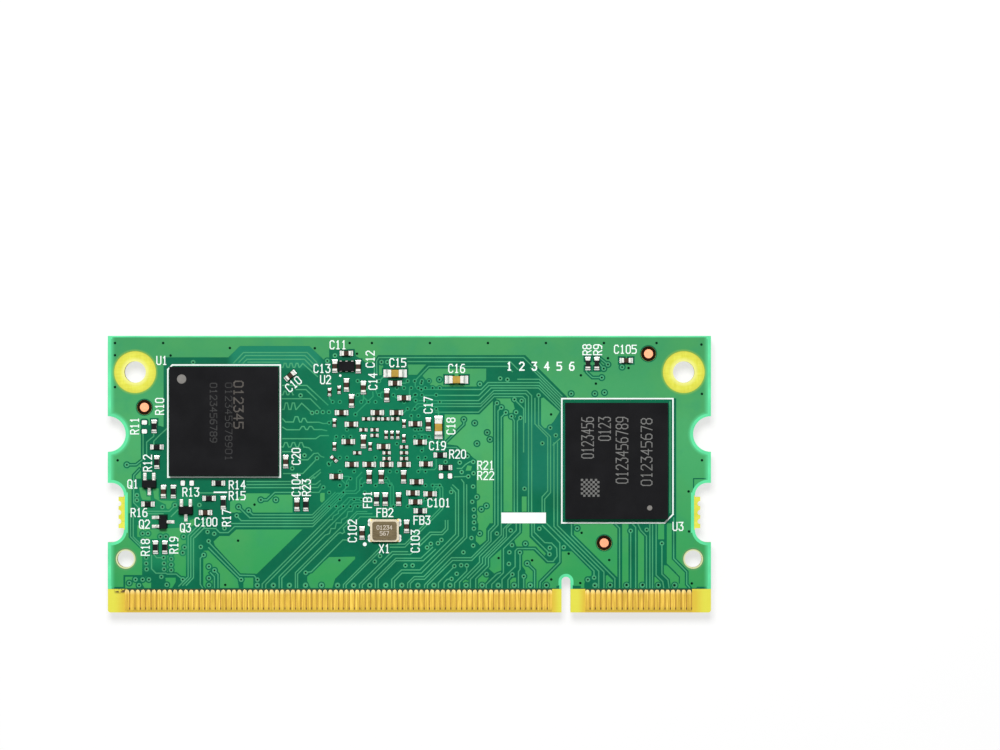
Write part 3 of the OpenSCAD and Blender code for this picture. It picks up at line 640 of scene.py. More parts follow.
def layer(name, cut, base_z, rise, shade, keep=anything):
    """A thin closed piece on a face of the board or a chip, from base_z to base_z + rise."""
    points, triangles, over = cut
    kept = [tuple(t) for t, kinds in zip(triangles, over) if kinds and keep(kinds)]
    used = sorted({i for t in kept for i in t})
    place = {old: new for new, old in enumerate(used)}
    count = len(used)
    verts = []
    for z in (base_z + rise, base_z):
        verts += [(points[i].x * MM, (points[i].y + EDGE_Y) * MM, z * MM) for i in used]
    outer = [tuple(place[i] for i in t) for t in kept]
    faces = outer + [tuple(i + count for i in reversed(t)) for t in outer]
    directed = {(t[k], t[(k + 1) % 3]) for t in outer for k in range(3)}
    for a, b in sorted(directed):
        if (b, a) not in directed:
            faces.append((b, a, a + count, b + count))
    if rise < 0:
        faces = [f[::-1] for f in faces]
    mesh = bpy.data.meshes.new(name)
    mesh.from_pydata(verts, [], faces)
    mesh.update()
    piece = bpy.data.objects.new(name, mesh)
    bpy.context.scene.collection.objects.link(piece)
    mesh.materials.append(SHADES[shade])
    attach(piece, "root")


def offset_line(line, distance):
    """The line moved sideways, to its left for a distance above 0, with mitred corners."""
    points = [Vector(p) for p in line]
    steps = [(b - a).normalized() for a, b in zip(points, points[1:])]
    normals = [Vector((-s.y, s.x)) for s in steps]
    out = []
    for i, point in enumerate(points):
        before = normals[max(i - 1, 0)]
        after = normals[min(i, len(normals) - 1)]
        middle = (before + after).normalized()
        out.append(point + middle * (distance / max(middle.dot(after), SHARPEST)))
    return out


def strip(line, width):
    """Outline of a line of that width, with its ends drawn out by half of it."""
    points = [Vector(p) for p in line]
    points[0] = points[0] + (points[0] - points[1]).normalized() * (width / 2)
    points[-1] = points[-1] + (points[-1] - points[-2]).normalized() * (width / 2)
    left = offset_line(points, width / 2)
    right = offset_line(points, -width / 2)
    return left + right[::-1]


def circle(x, y, radius, sides=14):
    """Outline of a disc, turned by its place so that neighbours don't have their corners in line."""
    turn = 0.37 * x + 0.21 * y
    step = 2 * math.pi / sides
    angles = [turn + step * k for k in range(sides)]
    return [(x + radius * math.cos(a), y + radius * math.sin(a)) for a in angles]


def box_shape(x0, y0, x1, y1):
    return [(x0, y0), (x1, y0), (x1, y1), (x0, y1)]


def grown(poly, distance):
    """A closed outline moved outwards, or inwards for a distance below 0."""
    ring = [Vector(p) for p in turning(list(poly))]
    closed = ring[-1:] + ring + ring[:1]
    return offset_line(closed, -distance)[1:-1]


def squared(loop, reach=0.5):
    """The outline with its two rounded far corners made sharp."""
    end_x = max(p[0] for p in loop)
    end_y = max(p[1] for p in loop)
    out = []
    for point in loop:
        if max(end_x - abs(point[0]), end_y - point[1]) < reach:
            point = (math.copysign(end_x, point[0]), end_y)
        if point not in out:
            out.append(point)
    return out


def middle_of(outline):
    return sum((Vector(p) for p in outline), Vector((0, 0))) / len(outline)


# Copper of the memory side


def meander(x0, x1, y, bumps, height):
    """Points of a level track that steps up and down to gain length."""
    step = (x1 - x0) / (2 * bumps)
    points = [(x0, y - height)]
    for k in range(bumps):
        left = x0 + 2 * k * step
        points += [(left + 0.4 * step, y - height), (left + 0.8 * step, y + height)]
        points += [(left + 1.4 * step, y + height), (left + 1.8 * step, y - height)]
    points.append((x1, y - height))
    return points


# Outlines of the broad copper areas

POURS = [
    [
        (-33.7, 30.9), (-33.7, 21.0), (-28.3, 21.0), (-27.55, 20.8), (-27.55, 28.6), (-20.3, 28.6),
        (-19.0, 29.87), (-11.2, 29.87), (-9.6, 28.35), (-9.0, 28.2), (-9.0, 29.5), (-6.1, 29.4),
        (-6.0, 28.75), (-5.2, 28.3), (-4.9, 28.0), (-3.95, 28.0), (-3.5, 28.85), (13.0, 28.85),
        (17.65, 24.2), (17.65, 24.0), (33.7, 24.0), (33.7, 30.9),
    ],
    [(-33.7, 21.1), (-33.7, 15.0), (-30.1, 15.0), (-30.1, 21.1)],
    [
        (-33.7, 2.75), (-32.05, 2.75), (-32.05, 4.2), (-29.95, 4.2), (-29.95, 7.2), (-31.4, 8.4),
        (-31.15, 10.9), (-31.15, 15.1), (-33.7, 15.1),
    ],
    [(-31.85, 2.75), (-31.85, 4.0), (-30.6, 4.0), (-30.4, 3.5), (-30.4, 2.75)],
    [(-30.0, 4.0), (-28.95, 4.0), (-28.95, 2.75), (-29.7, 2.75), (-30.0, 3.3)],
    [(-30.5, 8.5), (-30.5, 9.8), (-29.0, 9.3), (-25.8, 9.5), (-25.0, 9.2), (-25.0, 8.2), (-28.9, 8.2)],
    [
        (-27.15, 4.5), (-27.15, 6.6), (-25.9, 7.0), (-25.9, 8.3), (-25.05, 8.3), (-25.05, 4.0),
        (-25.6, 4.0), (-26.15, 4.45),
    ],
    [(-27.35, 3.9), (-26.2, 3.9), (-26.2, 3.4), (-26.6, 2.75), (-27.2, 2.75)],
    [
        (-30.3, 14.0), (-29.8, 14.0), (-29.4, 13.2), (-29.0, 13.1), (-29.0, 12.6), (-29.9, 12.6),
        (-30.1, 13.0),
    ],
    [
        (-28.75, 13.9), (-28.1, 13.9), (-28.1, 13.0), (-27.9, 12.55), (-26.1, 12.5), (-26.5, 11.9),
        (-27.0, 11.5), (-27.25, 11.7), (-27.3, 12.1), (-27.9, 12.4), (-28.6, 12.8),
    ],
    [(-24.65, 10.3), (-23.95, 10.6), (-23.95, 9.9), (-24.5, 9.6)],
    [(29.9, 24.1), (29.9, 2.75), (33.7, 2.75), (33.7, 24.1)],
    [(-3.4, 26.6), (-2.95, 26.6), (-2.95, 28.25), (-3.4, 28.25)],
    [(-0.18, 26.64), (-0.18, 27.79), (1.88, 27.79), (0.85, 26.64)],
    [(1.47, 26.52), (2.16, 27.33), (8.6, 27.33), (8.6, 26.1), (7.95, 25.33), (2.53, 25.33)],
    [
        (3.95, 22.2), (7.85, 22.2), (9.35, 23.7), (9.35, 10.0), (7.6, 10.0), (7.5, 17.05), (7.0, 17.5),
        (6.5, 18.0), (5.9, 18.2), (5.4, 18.7), (4.3, 18.85), (3.95, 19.3),
    ],
    [
        (7.75, 10.0), (9.0, 10.0), (8.6, 9.4), (8.6, 8.1), (7.9, 7.55), (7.45, 8.0), (7.45, 8.6),
        (7.7, 8.9),
    ],
    [(9.0, 5.95), (10.3, 7.1), (10.3, 4.4), (9.6, 4.3), (8.9, 4.9)],
    [(7.7, 2.75), (7.7, 3.75), (8.3, 4.3), (8.9, 3.9), (8.5, 3.3), (8.5, 2.75)],
    [(6.0, 2.75), (6.0, 3.5), (6.5, 3.8), (6.65, 3.6), (6.65, 2.75)],
    [(11.3, 2.75), (11.3, 3.6), (11.6, 3.9), (11.95, 3.9), (11.95, 2.75)],
    [
        (11.75, 8.1), (12.5, 8.8), (12.65, 9.2), (12.65, 10.0), (13.45, 10.0), (13.45, 8.45),
        (15.3, 6.6), (15.1, 6.3), (14.2, 7.4), (12.0, 7.4),
    ],
    [
        (12.65, 5.2), (12.65, 6.95), (13.9, 6.95), (15.35, 5.5), (16.7, 5.5), (16.7, 5.65), (14.5, 3.5),
        (14.4, 2.75), (13.0, 2.75), (13.0, 4.7),
    ],
    [
        (17.0, 6.85), (18.2, 6.85), (20.4, 4.6), (20.4, 4.1), (19.8, 4.0), (19.6, 3.2), (19.6, 2.75),
        (14.9, 2.75), (14.9, 3.3), (17.0, 5.45),
    ],
    [(18.45, 10.0), (18.45, 8.75), (23.3, 3.95), (23.3, 10.0)],
    [(22.0, 2.75), (22.8, 2.75), (22.8, 3.6), (22.2, 4.2), (22.0, 4.1)],
    [(23.85, 2.75), (24.55, 2.75), (24.55, 10.0), (23.85, 10.0)],
    [(25.62, 2.75), (26.3, 2.75), (26.3, 8.6), (25.62, 9.3)],
    [(27.85, 8.2), (28.55, 8.2), (28.55, 10.0), (27.85, 10.0)],
    [
        (28.85, 10.0), (29.4, 10.0), (29.4, 6.0), (30.9, 4.5), (30.9, 2.75), (30.3, 2.75), (30.3, 4.1),
        (28.85, 5.5),
    ],
    [(28.5, 5.3), (28.9, 5.25), (30.1, 4.05), (30.1, 2.75), (29.3, 2.75), (29.2, 3.7), (28.5, 4.35)],
    [(27.4, 4.0), (27.6, 4.0), (28.2, 3.4), (28.2, 2.75), (27.4, 2.75)],
    [
        (-11.45, 4.02), (-9.02, 6.2), (-6.09, 6.26), (-6.09, 6.0), (-8.33, 3.77), (-8.64, 2.75),
        (-11.07, 2.75), (-11.45, 3.52),
    ],
    [
        (-20.1, 11.2), (-13.1, 11.2), (-13.1, 13.2), (-15.0, 13.2), (-15.9, 13.35), (-18.2, 13.35),
        (-20.1, 12.4),
    ],
    [(-10.0, 13.4), (-9.5, 13.4), (-9.5, 12.6), (-9.8, 12.3), (-10.0, 12.5)],
    [
        (-21.3, 8.57), (-20.2, 8.57), (-19.4, 9.3), (-12.0, 9.3), (-17.1, 4.33), (-19.0, 4.4),
        (-21.8, 7.5), (-21.95, 7.95),
    ],
    [(-23.1, 2.75), (-23.1, 6.9), (-22.54, 6.95), (-19.27, 3.7), (-19.1, 2.75)],
    [(-18.6, 2.75), (-18.6, 3.9), (-17.5, 3.9), (-17.5, 2.75)],
    [
        (10.55, 11.3), (11.6, 11.3), (11.6, 21.4), (12.0, 22.1), (11.5, 24.02), (9.7, 24.02),
        (10.55, 22.6),
    ],
    [
        (14.76, 24.0), (15.04, 24.1), (16.84, 22.5), (16.16, 21.4), (15.5, 20.76), (15.1, 20.6),
        (14.76, 21.1),
    ],
    [(12.6, 11.3), (13.15, 11.3), (13.15, 13.0), (12.6, 13.0)],
    [(6.3, 15.9), (6.5, 16.5), (7.0, 16.4), (6.9, 15.9)],
]

# Lines of the tracks: at the left, from the memory package, from the contacts, and at the right

LEFT_TRACKS = [
    [(-31.66, 16.55), (-30.64, 16.55), (-29.95, 17.1)],
    [(-30.26, 16.05), (-30.9, 15.37), (-30.9, 12.3), (-30.4, 11.8)],
    [(-29.4, 11.34), (-26.9, 11.34), (-26.25, 12.0)],
    [(-29.4, 11.07), (-27.6, 11.07)],
    [(-26.7, 10.75), (-25.95, 11.5)],
    [(-29.85, 20.0), (-29.85, 17.4)],
    [(-28.65, 20.2), (-28.65, 19.75), (-29.45, 19.1), (-29.45, 17.5)],
    [(-27.2, 20.6), (-28.0, 19.87), (-28.65, 19.2), (-28.65, 18.8)],
    [(-31.26, 10.9), (-31.26, 8.5), (-30.0, 7.25)],
    [(-30.95, 10.9), (-30.95, 8.5), (-30.0, 7.55)],
    [
        (-28.9, 6.4), (-28.9, 4.9), (-28.4, 4.4), (-27.3, 4.4), (-27.15, 4.3), (-26.15, 4.3),
        (-25.38, 3.68),
    ],
    [(-28.6, 6.45), (-28.33, 6.14), (-27.5, 6.14)],
    [(-22.3, 10.2), (-24.2, 8.3), (-24.2, 3.9), (-25.0, 3.05)],
    [(-22.6, 10.35), (-24.5, 8.45), (-24.5, 3.95), (-25.4, 3.05)],
    [(-22.9, 10.5), (-24.8, 8.6), (-24.8, 4.0), (-25.85, 2.95)],
    [(-23.6, 13.4), (-21.9, 13.4)],
    [(-22.5, 7.88), (-19.0, 4.17), (-17.4, 4.14), (-17.03, 3.68)],
    [(-22.5, 7.26), (-19.14, 3.9), (-18.86, 3.68)],
    [(-23.07, 6.45), (-23.44, 6.08), (-23.44, 3.15), (-23.2, 2.8)],
    [(-21.85, 4.7), (-21.45, 4.27), (-21.45, 2.8)],
    [(-22.3, 4.45), (-21.85, 4.0), (-21.85, 2.8)],
    [(-18.02, 11.41), (-17.55, 10.95), (-10.88, 10.95), (-8.33, 13.46)],
    [
        (-19.14, 11.84), (-17.9, 10.62), (-10.85, 10.62), (-8.1, 13.37), (-7.65, 13.37), (-7.25, 13.75),
        (-7.05, 14.2), (-7.05, 14.7), (-6.8, 15.0),
    ],
    [(-19.36, 10.85), (-18.85, 10.29), (-10.82, 10.29), (-7.6, 13.5), (-6.85, 14.2), (-6.85, 14.6)],
    [
        (-19.9, 9.97), (-10.8, 9.97), (-7.15, 13.62), (-6.15, 13.62), (-5.93, 13.84), (-5.93, 15.08),
        (-5.34, 15.7),
    ],
    [
        (-24.0, 8.44), (-23.07, 9.41), (-21.7, 9.41), (-21.26, 8.95), (-20.3, 8.95), (-19.6, 9.63),
        (-10.83, 9.63), (-7.12, 13.34), (-5.97, 13.34), (-5.56, 13.71), (-5.56, 14.83), (-5.3, 15.1),
    ],
    [(-18.2, 14.68), (-11.3, 14.68), (-10.7, 15.2)],
    [(-18.2, 14.33), (-10.5, 14.37), (-10.0, 14.77)],
    [(-18.4, 13.99), (-10.26, 14.0), (-9.95, 14.4)],
    [(-16.65, 12.62), (-15.96, 12.62), (-15.09, 13.46), (-10.14, 13.46), (-9.76, 13.96)],
    [(-14.1, 15.57), (-11.95, 15.57), (-10.52, 17.08), (-10.36, 17.3)],
    [(-11.2, 15.05), (-10.0, 16.0)],
    [(-10.68, 15.02), (-9.95, 15.7)],
]

MEMORY_TRACKS = [
    [
        (-14.2, 21.7), (-13.88, 21.35), (-13.0, 21.35), (-12.8, 21.94), (-12.5, 21.94), (-12.3, 21.35),
        (-12.1, 21.35), (-11.95, 21.75), (-11.7, 21.75), (-11.45, 21.32), (-10.1, 21.32), (-9.7, 21.18),
        (-9.05, 21.18),
    ],
    [
        (-14.2, 20.76), (-13.75, 20.48), (-12.32, 20.48), (-12.05, 20.85), (-11.8, 20.85),
        (-11.6, 20.5), (-11.4, 20.5), (-11.2, 20.85), (-10.95, 20.85), (-10.7, 20.5), (-9.83, 20.5),
        (-9.27, 20.38),
    ],
    [(-14.2, 19.48), (-10.5, 19.48), (-10.0, 19.82), (-9.08, 19.82)],
    meander(-14.3, -11.76, 18.79, 3, 0.24) + [(-11.26, 18.45), (-10.95, 18.15)],
    [(-14.2, 18.02), (-13.1, 18.02)],
    [(-12.26, 17.11), (-11.39, 17.11), (-10.7, 17.82), (-10.25, 17.86), (-9.96, 17.52), (-9.6, 17.4)],
    [(-19.7, 27.96), (-18.6, 29.13), (-11.45, 29.13), (-10.39, 28.04)],
    [(-19.1, 28.04), (-18.36, 28.8), (-11.7, 28.8), (-10.64, 27.75)],
    [(-18.65, 27.95), (-18.2, 28.38), (-11.76, 28.38), (-10.9, 27.5)],
    [(-18.1, 28.05), (-14.6, 28.05)],
    meander(-14.3, -12.3, 27.7, 3, 0.22) + [(-11.95, 27.9), (-10.3, 26.45)],
    [(-14.2, 25.45), (-11.5, 25.45), (-9.15, 23.27)],
    [(-12.7, 24.98), (-11.6, 24.98), (-10.39, 23.83)],
    meander(-14.3, -13.0, 24.6, 2, 0.2),
    [(-14.3, 23.96), (-11.1, 23.96), (-10.0, 22.84)],
    meander(-14.2, -12.66, 23.12, 2, 0.36) + [(-12.07, 23.46), (-11.14, 22.59), (-10.9, 22.37)],
]

LOWER_TRACKS = [
    [(-16.5, 2.8), (-16.5, 3.2), (-6.82, 12.88), (-5.4, 12.88)],
    [
        (-16.1, 2.8), (-16.1, 3.15), (-8.9, 10.38), (-8.64, 10.41), (-8.52, 10.79), (-7.96, 11.1),
        (-7.96, 11.35), (-7.4, 11.72), (-7.27, 11.97), (-7.02, 12.09), (-6.59, 12.65), (-5.4, 12.65),
    ],
    [(-14.6, 2.8), (-14.6, 4.0), (-6.29, 12.31), (-5.4, 12.31)],
    [
        (-14.3, 2.8), (-14.3, 3.85), (-9.45, 8.66), (-8.97, 8.85), (-8.77, 9.41), (-8.33, 9.41),
        (-8.2, 10.04), (-7.65, 10.04), (-7.58, 10.41), (-7.02, 10.72), (-6.9, 11.28), (-6.4, 11.35),
        (-6.15, 12.03), (-5.4, 12.03),
    ],
    [(-12.78, 2.8), (-12.78, 4.45), (-5.9, 11.32), (-4.78, 11.32)],
    [
        (-12.53, 2.8), (-12.53, 4.3), (-8.02, 8.82), (-7.77, 8.97), (-7.52, 8.85), (-7.27, 9.0),
        (-7.4, 9.45), (-7.0, 9.8), (-5.84, 11.07), (-4.2, 11.07),
    ],
    [(-6.1, 10.15), (-5.53, 10.72), (-3.5, 10.72)],
    [(-11.63, 4.46), (-11.0, 4.58), (-7.46, 8.13), (-6.9, 8.13)],
    [(-7.4, 2.8), (-7.4, 3.12), (-3.4, 7.15)],
    [(-7.1, 2.8), (-7.1, 3.1), (-3.5, 6.68)],
    [(-5.6, 2.8), (-5.6, 3.15), (-1.95, 6.82), (-0.2, 6.82)],
    [(-5.28, 2.8), (-5.28, 3.08), (-1.82, 6.51), (0.11, 6.51), (0.4, 6.75)],
    [(-3.82, 2.8), (-3.82, 3.8), (-1.51, 6.08), (1.29, 6.08), (2.6, 7.3)],
    [(-3.5, 2.8), (-3.5, 3.75), (-1.51, 5.8), (1.54, 5.8), (2.91, 7.07)],
    [(-2.2, 7.66), (-0.51, 7.66), (3.43, 11.65), (3.43, 13.84), (3.18, 14.1), (2.56, 14.1)],
    [(-2.13, 7.32), (-0.51, 7.32), (3.74, 11.6), (3.74, 14.0), (3.37, 14.37), (2.44, 14.37)],
    [(0.95, 7.7), (2.29, 9.0), (3.6, 9.0), (4.03, 9.44), (4.03, 10.3)],
    [(1.0, 7.3), (2.47, 8.72), (3.72, 8.72), (4.31, 9.32), (4.31, 10.3)],
    [(-1.98, 2.8), (-1.98, 3.7), (-0.89, 4.77), (1.17, 4.77), (5.18, 8.8), (5.18, 13.44), (4.68, 14.0)],
    [(-1.67, 2.8), (-1.67, 3.55), (-0.83, 4.42), (1.35, 4.42), (5.5, 8.6), (5.5, 13.7), (4.86, 14.3)],
    [(-0.2, 2.8), (-0.2, 3.3), (0.54, 4.02), (1.6, 4.02), (6.1, 8.5), (6.1, 14.56), (5.85, 14.9)],
    [(0.11, 2.8), (0.11, 3.25), (0.61, 3.72), (1.7, 3.72), (6.42, 8.4), (6.42, 14.3)],
    [
        (1.7, 2.8), (1.7, 3.1), (4.72, 6.14), (6.93, 6.14), (8.86, 8.07), (8.86, 9.13), (9.57, 9.85),
        (9.57, 23.2), (9.81, 23.47),
    ],
    [
        (2.02, 2.8), (2.02, 3.08), (4.84, 5.83), (6.99, 5.83), (9.14, 7.98), (9.14, 8.98), (9.93, 9.8),
        (9.93, 22.6), (10.3, 22.97),
    ],
    [(3.25, 2.8), (3.25, 3.34), (4.84, 4.96)],
    [(3.88, 2.8), (3.88, 3.34), (4.22, 3.71), (4.72, 3.77)],
    [(5.06, 2.8), (5.06, 3.28), (6.43, 4.65), (6.43, 5.27)],
    [(5.62, 2.8), (5.62, 3.4), (7.86, 5.64), (7.86, 6.26), (10.3, 8.7), (10.3, 21.9), (10.8, 22.41)],
    [
        (6.5, 3.85), (8.2, 5.55), (8.2, 6.14), (10.54, 8.48), (10.54, 9.38), (11.75, 10.6),
        (11.75, 21.5), (11.43, 21.98),
    ],
    [
        (6.83, 2.8), (6.83, 3.71), (8.52, 5.4), (8.52, 6.12), (10.87, 8.46), (10.87, 9.44),
        (12.1, 10.7), (12.1, 21.45), (12.45, 21.82),
    ],
    [(7.43, 2.8), (7.43, 3.77), (8.86, 5.2), (8.86, 6.1), (11.97, 9.21), (11.97, 10.1)],
    [(9.23, 2.8), (9.23, 3.15), (10.54, 4.45), (10.54, 7.14), (12.4, 9.0), (12.4, 10.1)],
    [(8.6, 2.8), (8.6, 3.15), (9.8, 4.3), (10.2, 4.45)],
    [
        (10.38, 2.8), (10.38, 3.71), (11.85, 5.14), (11.85, 6.9), (12.1, 7.17), (14.05, 7.17),
        (15.5, 5.72), (16.1, 5.72), (16.55, 6.3), (16.5, 7.2), (15.95, 7.78), (15.17, 7.83),
        (14.0, 9.0), (14.0, 10.0),
    ],
    [(13.72, 10.0), (13.72, 8.6), (15.4, 6.92), (15.7, 6.55)],
    [(11.04, 2.8), (11.04, 3.65), (11.54, 4.27)],
    [(12.22, 2.8), (12.22, 4.58), (12.4, 4.83), (12.4, 6.73)],
    [(12.81, 2.8), (12.81, 4.02)],
    [(13.2, 5.5), (14.03, 4.7), (14.03, 2.8)],
    [(14.9, 9.75), (16.86, 7.8), (16.86, 5.65), (14.65, 3.4), (14.62, 2.8)],
    [(15.35, 10.0), (20.69, 4.66), (20.69, 3.92)],
    [(16.2, 19.0), (16.2, 9.65), (21.22, 4.63), (21.22, 2.8)],
    [(16.6, 19.0), (16.6, 9.75), (21.8, 4.55), (21.8, 2.8)],
    [(18.17, 10.0), (18.17, 8.68), (23.03, 3.82), (23.03, 2.8)],
]

RIGHT_TRACKS = [
    [(23.0, 10.0), (23.55, 9.45), (23.55, 2.8)],
    [(24.8, 9.15), (24.8, 2.8)],
    [(25.0, 9.93), (25.36, 9.55), (25.36, 2.8)],
    [(25.6, 9.93), (25.95, 9.2), (26.57, 8.56), (26.57, 2.8)],
    [(26.95, 9.9), (26.95, 2.8)],
    [(27.25, 9.9), (27.25, 2.8)],
    [(27.65, 9.9), (27.65, 4.2), (28.4, 3.45), (28.5, 2.8)],
    [(28.3, 7.75), (28.3, 4.3), (28.98, 3.65), (29.1, 2.8)],
    [(29.62, 10.6), (29.62, 6.05), (31.08, 4.55), (31.08, 3.15), (31.4, 2.8)],
    [(29.2, 23.6), (29.2, 11.2)],
    [(19.85, 27.2), (19.85, 26.95), (20.5, 26.33), (21.56, 26.33)],
    [(21.2, 28.0), (21.78, 27.33)],
    [(21.45, 28.45), (22.25, 27.8)],
    [(-3.65, 26.84), (-3.68, 28.2), (-3.45, 28.57), (12.8, 28.57), (17.1, 24.27)],
    [(-3.92, 26.9), (-3.92, 27.7)],
    [(-0.15, 28.12), (11.3, 28.12), (12.15, 27.26)],
    [(0.66, 25.27), (0.66, 26.02), (2.16, 27.58), (10.97, 27.58), (11.53, 27.0)],
    [(-4.1, 24.7), (-4.07, 24.2), (-6.05, 22.25)],
    [(-3.75, 24.9), (-3.7, 24.6), (-3.1, 24.0)],
    [(13.6, 27.43), (17.1, 23.93)],
    [(12.15, 26.14), (14.54, 26.14), (17.08, 23.6)],
    [(1.47, 25.0), (8.05, 25.0), (8.8, 25.77), (14.56, 25.77), (17.08, 23.25)],
    [(1.4, 24.34), (7.8, 24.34), (8.9, 25.44), (14.54, 25.44), (17.08, 22.9)],
    [(1.1, 23.75), (7.75, 23.75), (9.16, 25.16), (14.47, 25.16), (17.08, 22.55)],
    [
        (0.25, 22.6), (0.9, 23.4), (7.98, 23.4), (9.45, 24.87), (13.15, 24.87), (13.7, 24.3),
        (13.7, 11.3),
    ],
    [
        (0.85, 22.8), (1.15, 23.09), (7.98, 23.09), (9.41, 24.52), (13.03, 24.52), (13.35, 24.2),
        (13.35, 11.3),
    ],
    [(2.9, 22.45), (7.75, 22.45), (9.5, 24.2), (12.7, 24.2), (13.0, 23.9), (13.0, 21.3)],
    [(11.77, 23.88), (12.8, 22.85), (12.8, 18.0)],
    [(14.07, 24.0), (14.07, 21.14), (15.5, 19.65), (15.5, 13.63), (14.87, 12.95), (14.87, 11.3)],
    [(14.48, 24.34), (14.48, 21.0), (15.82, 19.7), (15.82, 13.44), (15.16, 12.7), (15.16, 11.3)],
    [(16.1, 18.77), (16.84, 19.46)],
    [(4.1, 19.1), (6.1, 21.07), (6.1, 21.63)],
    [(4.1, 18.5), (5.25, 18.5), (5.55, 18.25)],
    [(5.05, 15.2), (6.6, 15.25)],
    [(5.36, 16.15), (5.86, 16.15), (6.3, 16.6), (6.8, 16.9), (7.14, 16.9)],
    [(1.0, 20.0), (1.9, 19.95), (2.5, 19.35)],
    [(3.0, 17.2), (3.0, 16.2), (2.8, 16.0), (1.0, 16.0)],
    [(-2.3, 14.9), (-2.1, 14.3), (-2.1, 11.9)],
    [(-2.0, 14.5), (-1.8, 14.1), (-1.8, 11.9)],
]

# Plain holes in the pours, then vias with a ring

STITCHES = [
    (-33.0, 30.2), (-33.0, 28.83), (-33.0, 25.26), (-27.6, 30.2), (-26.76, 28.8), (-20.12, 29.64),
    (-6.7, 30.2), (-4.2, 30.2), (-10.6, 29.62), (-5.87, 29.0), (2.3, 30.2), (8.8, 30.2), (15.3, 30.2),
    (21.8, 30.2), (27.7, 30.2), (32.73, 30.03), (32.78, 24.5), (19.22, 26.58), (20.9, 25.65),
    (22.25, 28.5), (-32.7, 17.05), (32.79, 17.06), (31.29, 13.57), (31.34, 9.08), (22.4, 5.88),
    (-19.2, 8.05), (-17.36, 12.09), (-20.64, 3.09), (-7.85, 5.85), (15.88, 22.2), (17.85, 6.6),
    (19.15, 3.3), (31.65, 3.26), (19.3, 8.93), (10.0, 6.1), (13.75, 5.85), (24.56, 27.4), (24.34, 3.08),
    (26.14, 3.1), (22.5, 3.08), (29.7, 3.05), (27.9, 3.08), (15.9, 3.7), (15.35, 3.05),
]

VIAS = [
    (9.81, 23.47), (10.3, 22.97), (10.8, 22.41), (11.43, 21.98), (11.96, 22.45), (12.45, 21.82),
    (11.77, 23.88), (12.58, 23.72), (14.48, 24.34), (6.1, 21.63), (7.32, 21.23), (3.37, 26.1),
    (10.18, 26.23), (10.99, 26.1), (7.9, 25.6), (8.72, 20.17), (9.03, 19.4), (7.57, 18.93), (6.5, 17.5),
    (7.15, 16.88), (5.64, 16.8), (4.05, 16.87), (5.86, 15.74), (7.19, 15.6), (6.6, 15.25),
    (7.14, 14.12), (4.68, 13.5), (7.54, 12.94), (7.04, 12.4), (7.22, 11.54), (8.07, 11.57),
    (8.63, 11.95), (7.25, 10.76), (7.25, 10.1), (7.23, 9.4), (7.88, 8.85), (6.95, 8.35), (7.15, 7.5),
    (6.05, 6.75), (5.03, 5.2), (5.8, 5.3), (6.43, 5.27), (5.3, 4.33), (4.72, 3.77), (8.65, 4.3),
    (9.8, 8.85), (11.35, 9.2), (11.5, 7.55), (11.2, 6.75), (12.38, 6.73), (11.15, 5.45), (11.54, 4.27),
    (12.82, 4.05), (13.2, 5.5), (13.0, 7.7), (14.56, 9.38), (15.74, 7.25), (15.7, 6.53), (3.59, 8.13),
    (1.98, 7.29), (2.4, 7.7), (3.2, 7.76), (14.9, 18.96), (15.79, 20.7), (16.4, 19.86), (12.9, 13.87),
    (18.13, 24.52), (20.78, 24.52), (21.87, 24.65), (23.84, 27.5), (21.56, 26.33), (22.25, 27.8),
    (21.78, 27.33), (18.8, 9.43), (24.8, 9.15), (26.6, 9.27), (28.3, 7.75), (17.3, 7.31), (20.0, 3.67),
    (20.7, 3.92), (20.75, 3.05), (-31.67, 16.55), (-30.54, 13.14), (-30.54, 12.58), (-27.68, 11.83),
    (-26.28, 12.02), (-23.54, 12.05), (-19.14, 11.84), (-18.02, 11.41), (-19.36, 10.85),
    (-16.65, 12.62), (-14.97, 12.62), (-11.76, 17.61), (-10.36, 17.3), (-9.05, 16.7), (-13.13, 16.15),
    (-10.9, 22.37), (-10.36, 22.46), (-9.7, 22.46), (-9.02, 22.46), (-12.2, 24.33), (-6.05, 22.2),
    (-3.13, 28.07), (-2.48, 28.07), (-24.24, 28.04), (-9.2, 28.2), (-8.35, 28.8), (-29.9, 8.85),
    (-29.3, 8.85), (-27.9, 8.5), (-27.3, 8.5), (-25.3, 8.5), (-29.5, 6.15), (-29.5, 5.5),
    (-29.45, 4.85), (-27.55, 6.15), (-27.5, 5.5), (-27.5, 4.85), (-26.7, 6.65), (-26.7, 6.0),
    (-26.7, 5.35), (-26.7, 4.75), (-25.4, 6.7), (-25.2, 7.3), (-23.38, 7.35), (-23.07, 6.45),
    (-22.63, 9.04), (-21.88, 8.82), (-22.5, 8.0), (-20.73, 9.44), (-22.47, 5.14), (-21.85, 4.72),
    (-22.47, 3.84), (-22.47, 3.06), (-18.86, 3.68), (-17.03, 3.68), (-11.63, 4.46), (-27.8, 4.0),
    (-25.4, 3.7), (-27.2, 3.1), (-30.7, 3.7), (-31.4, 3.3), (-29.9, 3.7), (-29.2, 3.7), (-30.3, 3.05),
    (-3.88, 5.7), (-3.29, 6.33), (-0.45, 5.27), (0.36, 5.27), (-9.64, 14.02), (0.7, 24.4), (0.7, 23.75),
    (1.33, 24.98), (1.33, 25.7), (0.64, 20.5), (1.33, 20.53),
]

# Narrow lines without copper inside the pours, each with its width

BARE_LINES = [
    (0.13, [(31.85, 13.95), (31.85, 15.0), (33.2, 15.0)]),
    (0.13, [(29.7, 4.55), (30.25, 4.0), (30.25, 3.3)]),
    # These two are painted shadow: dark lines along the mask's edge at the board's ends
    (0.22, [(32.3, 2.78), (33.2, 2.78)]),
    (0.18, [(-33.0, 2.78), (-32.0, 2.78)]),
]

# Places of the row of vias along the contacts

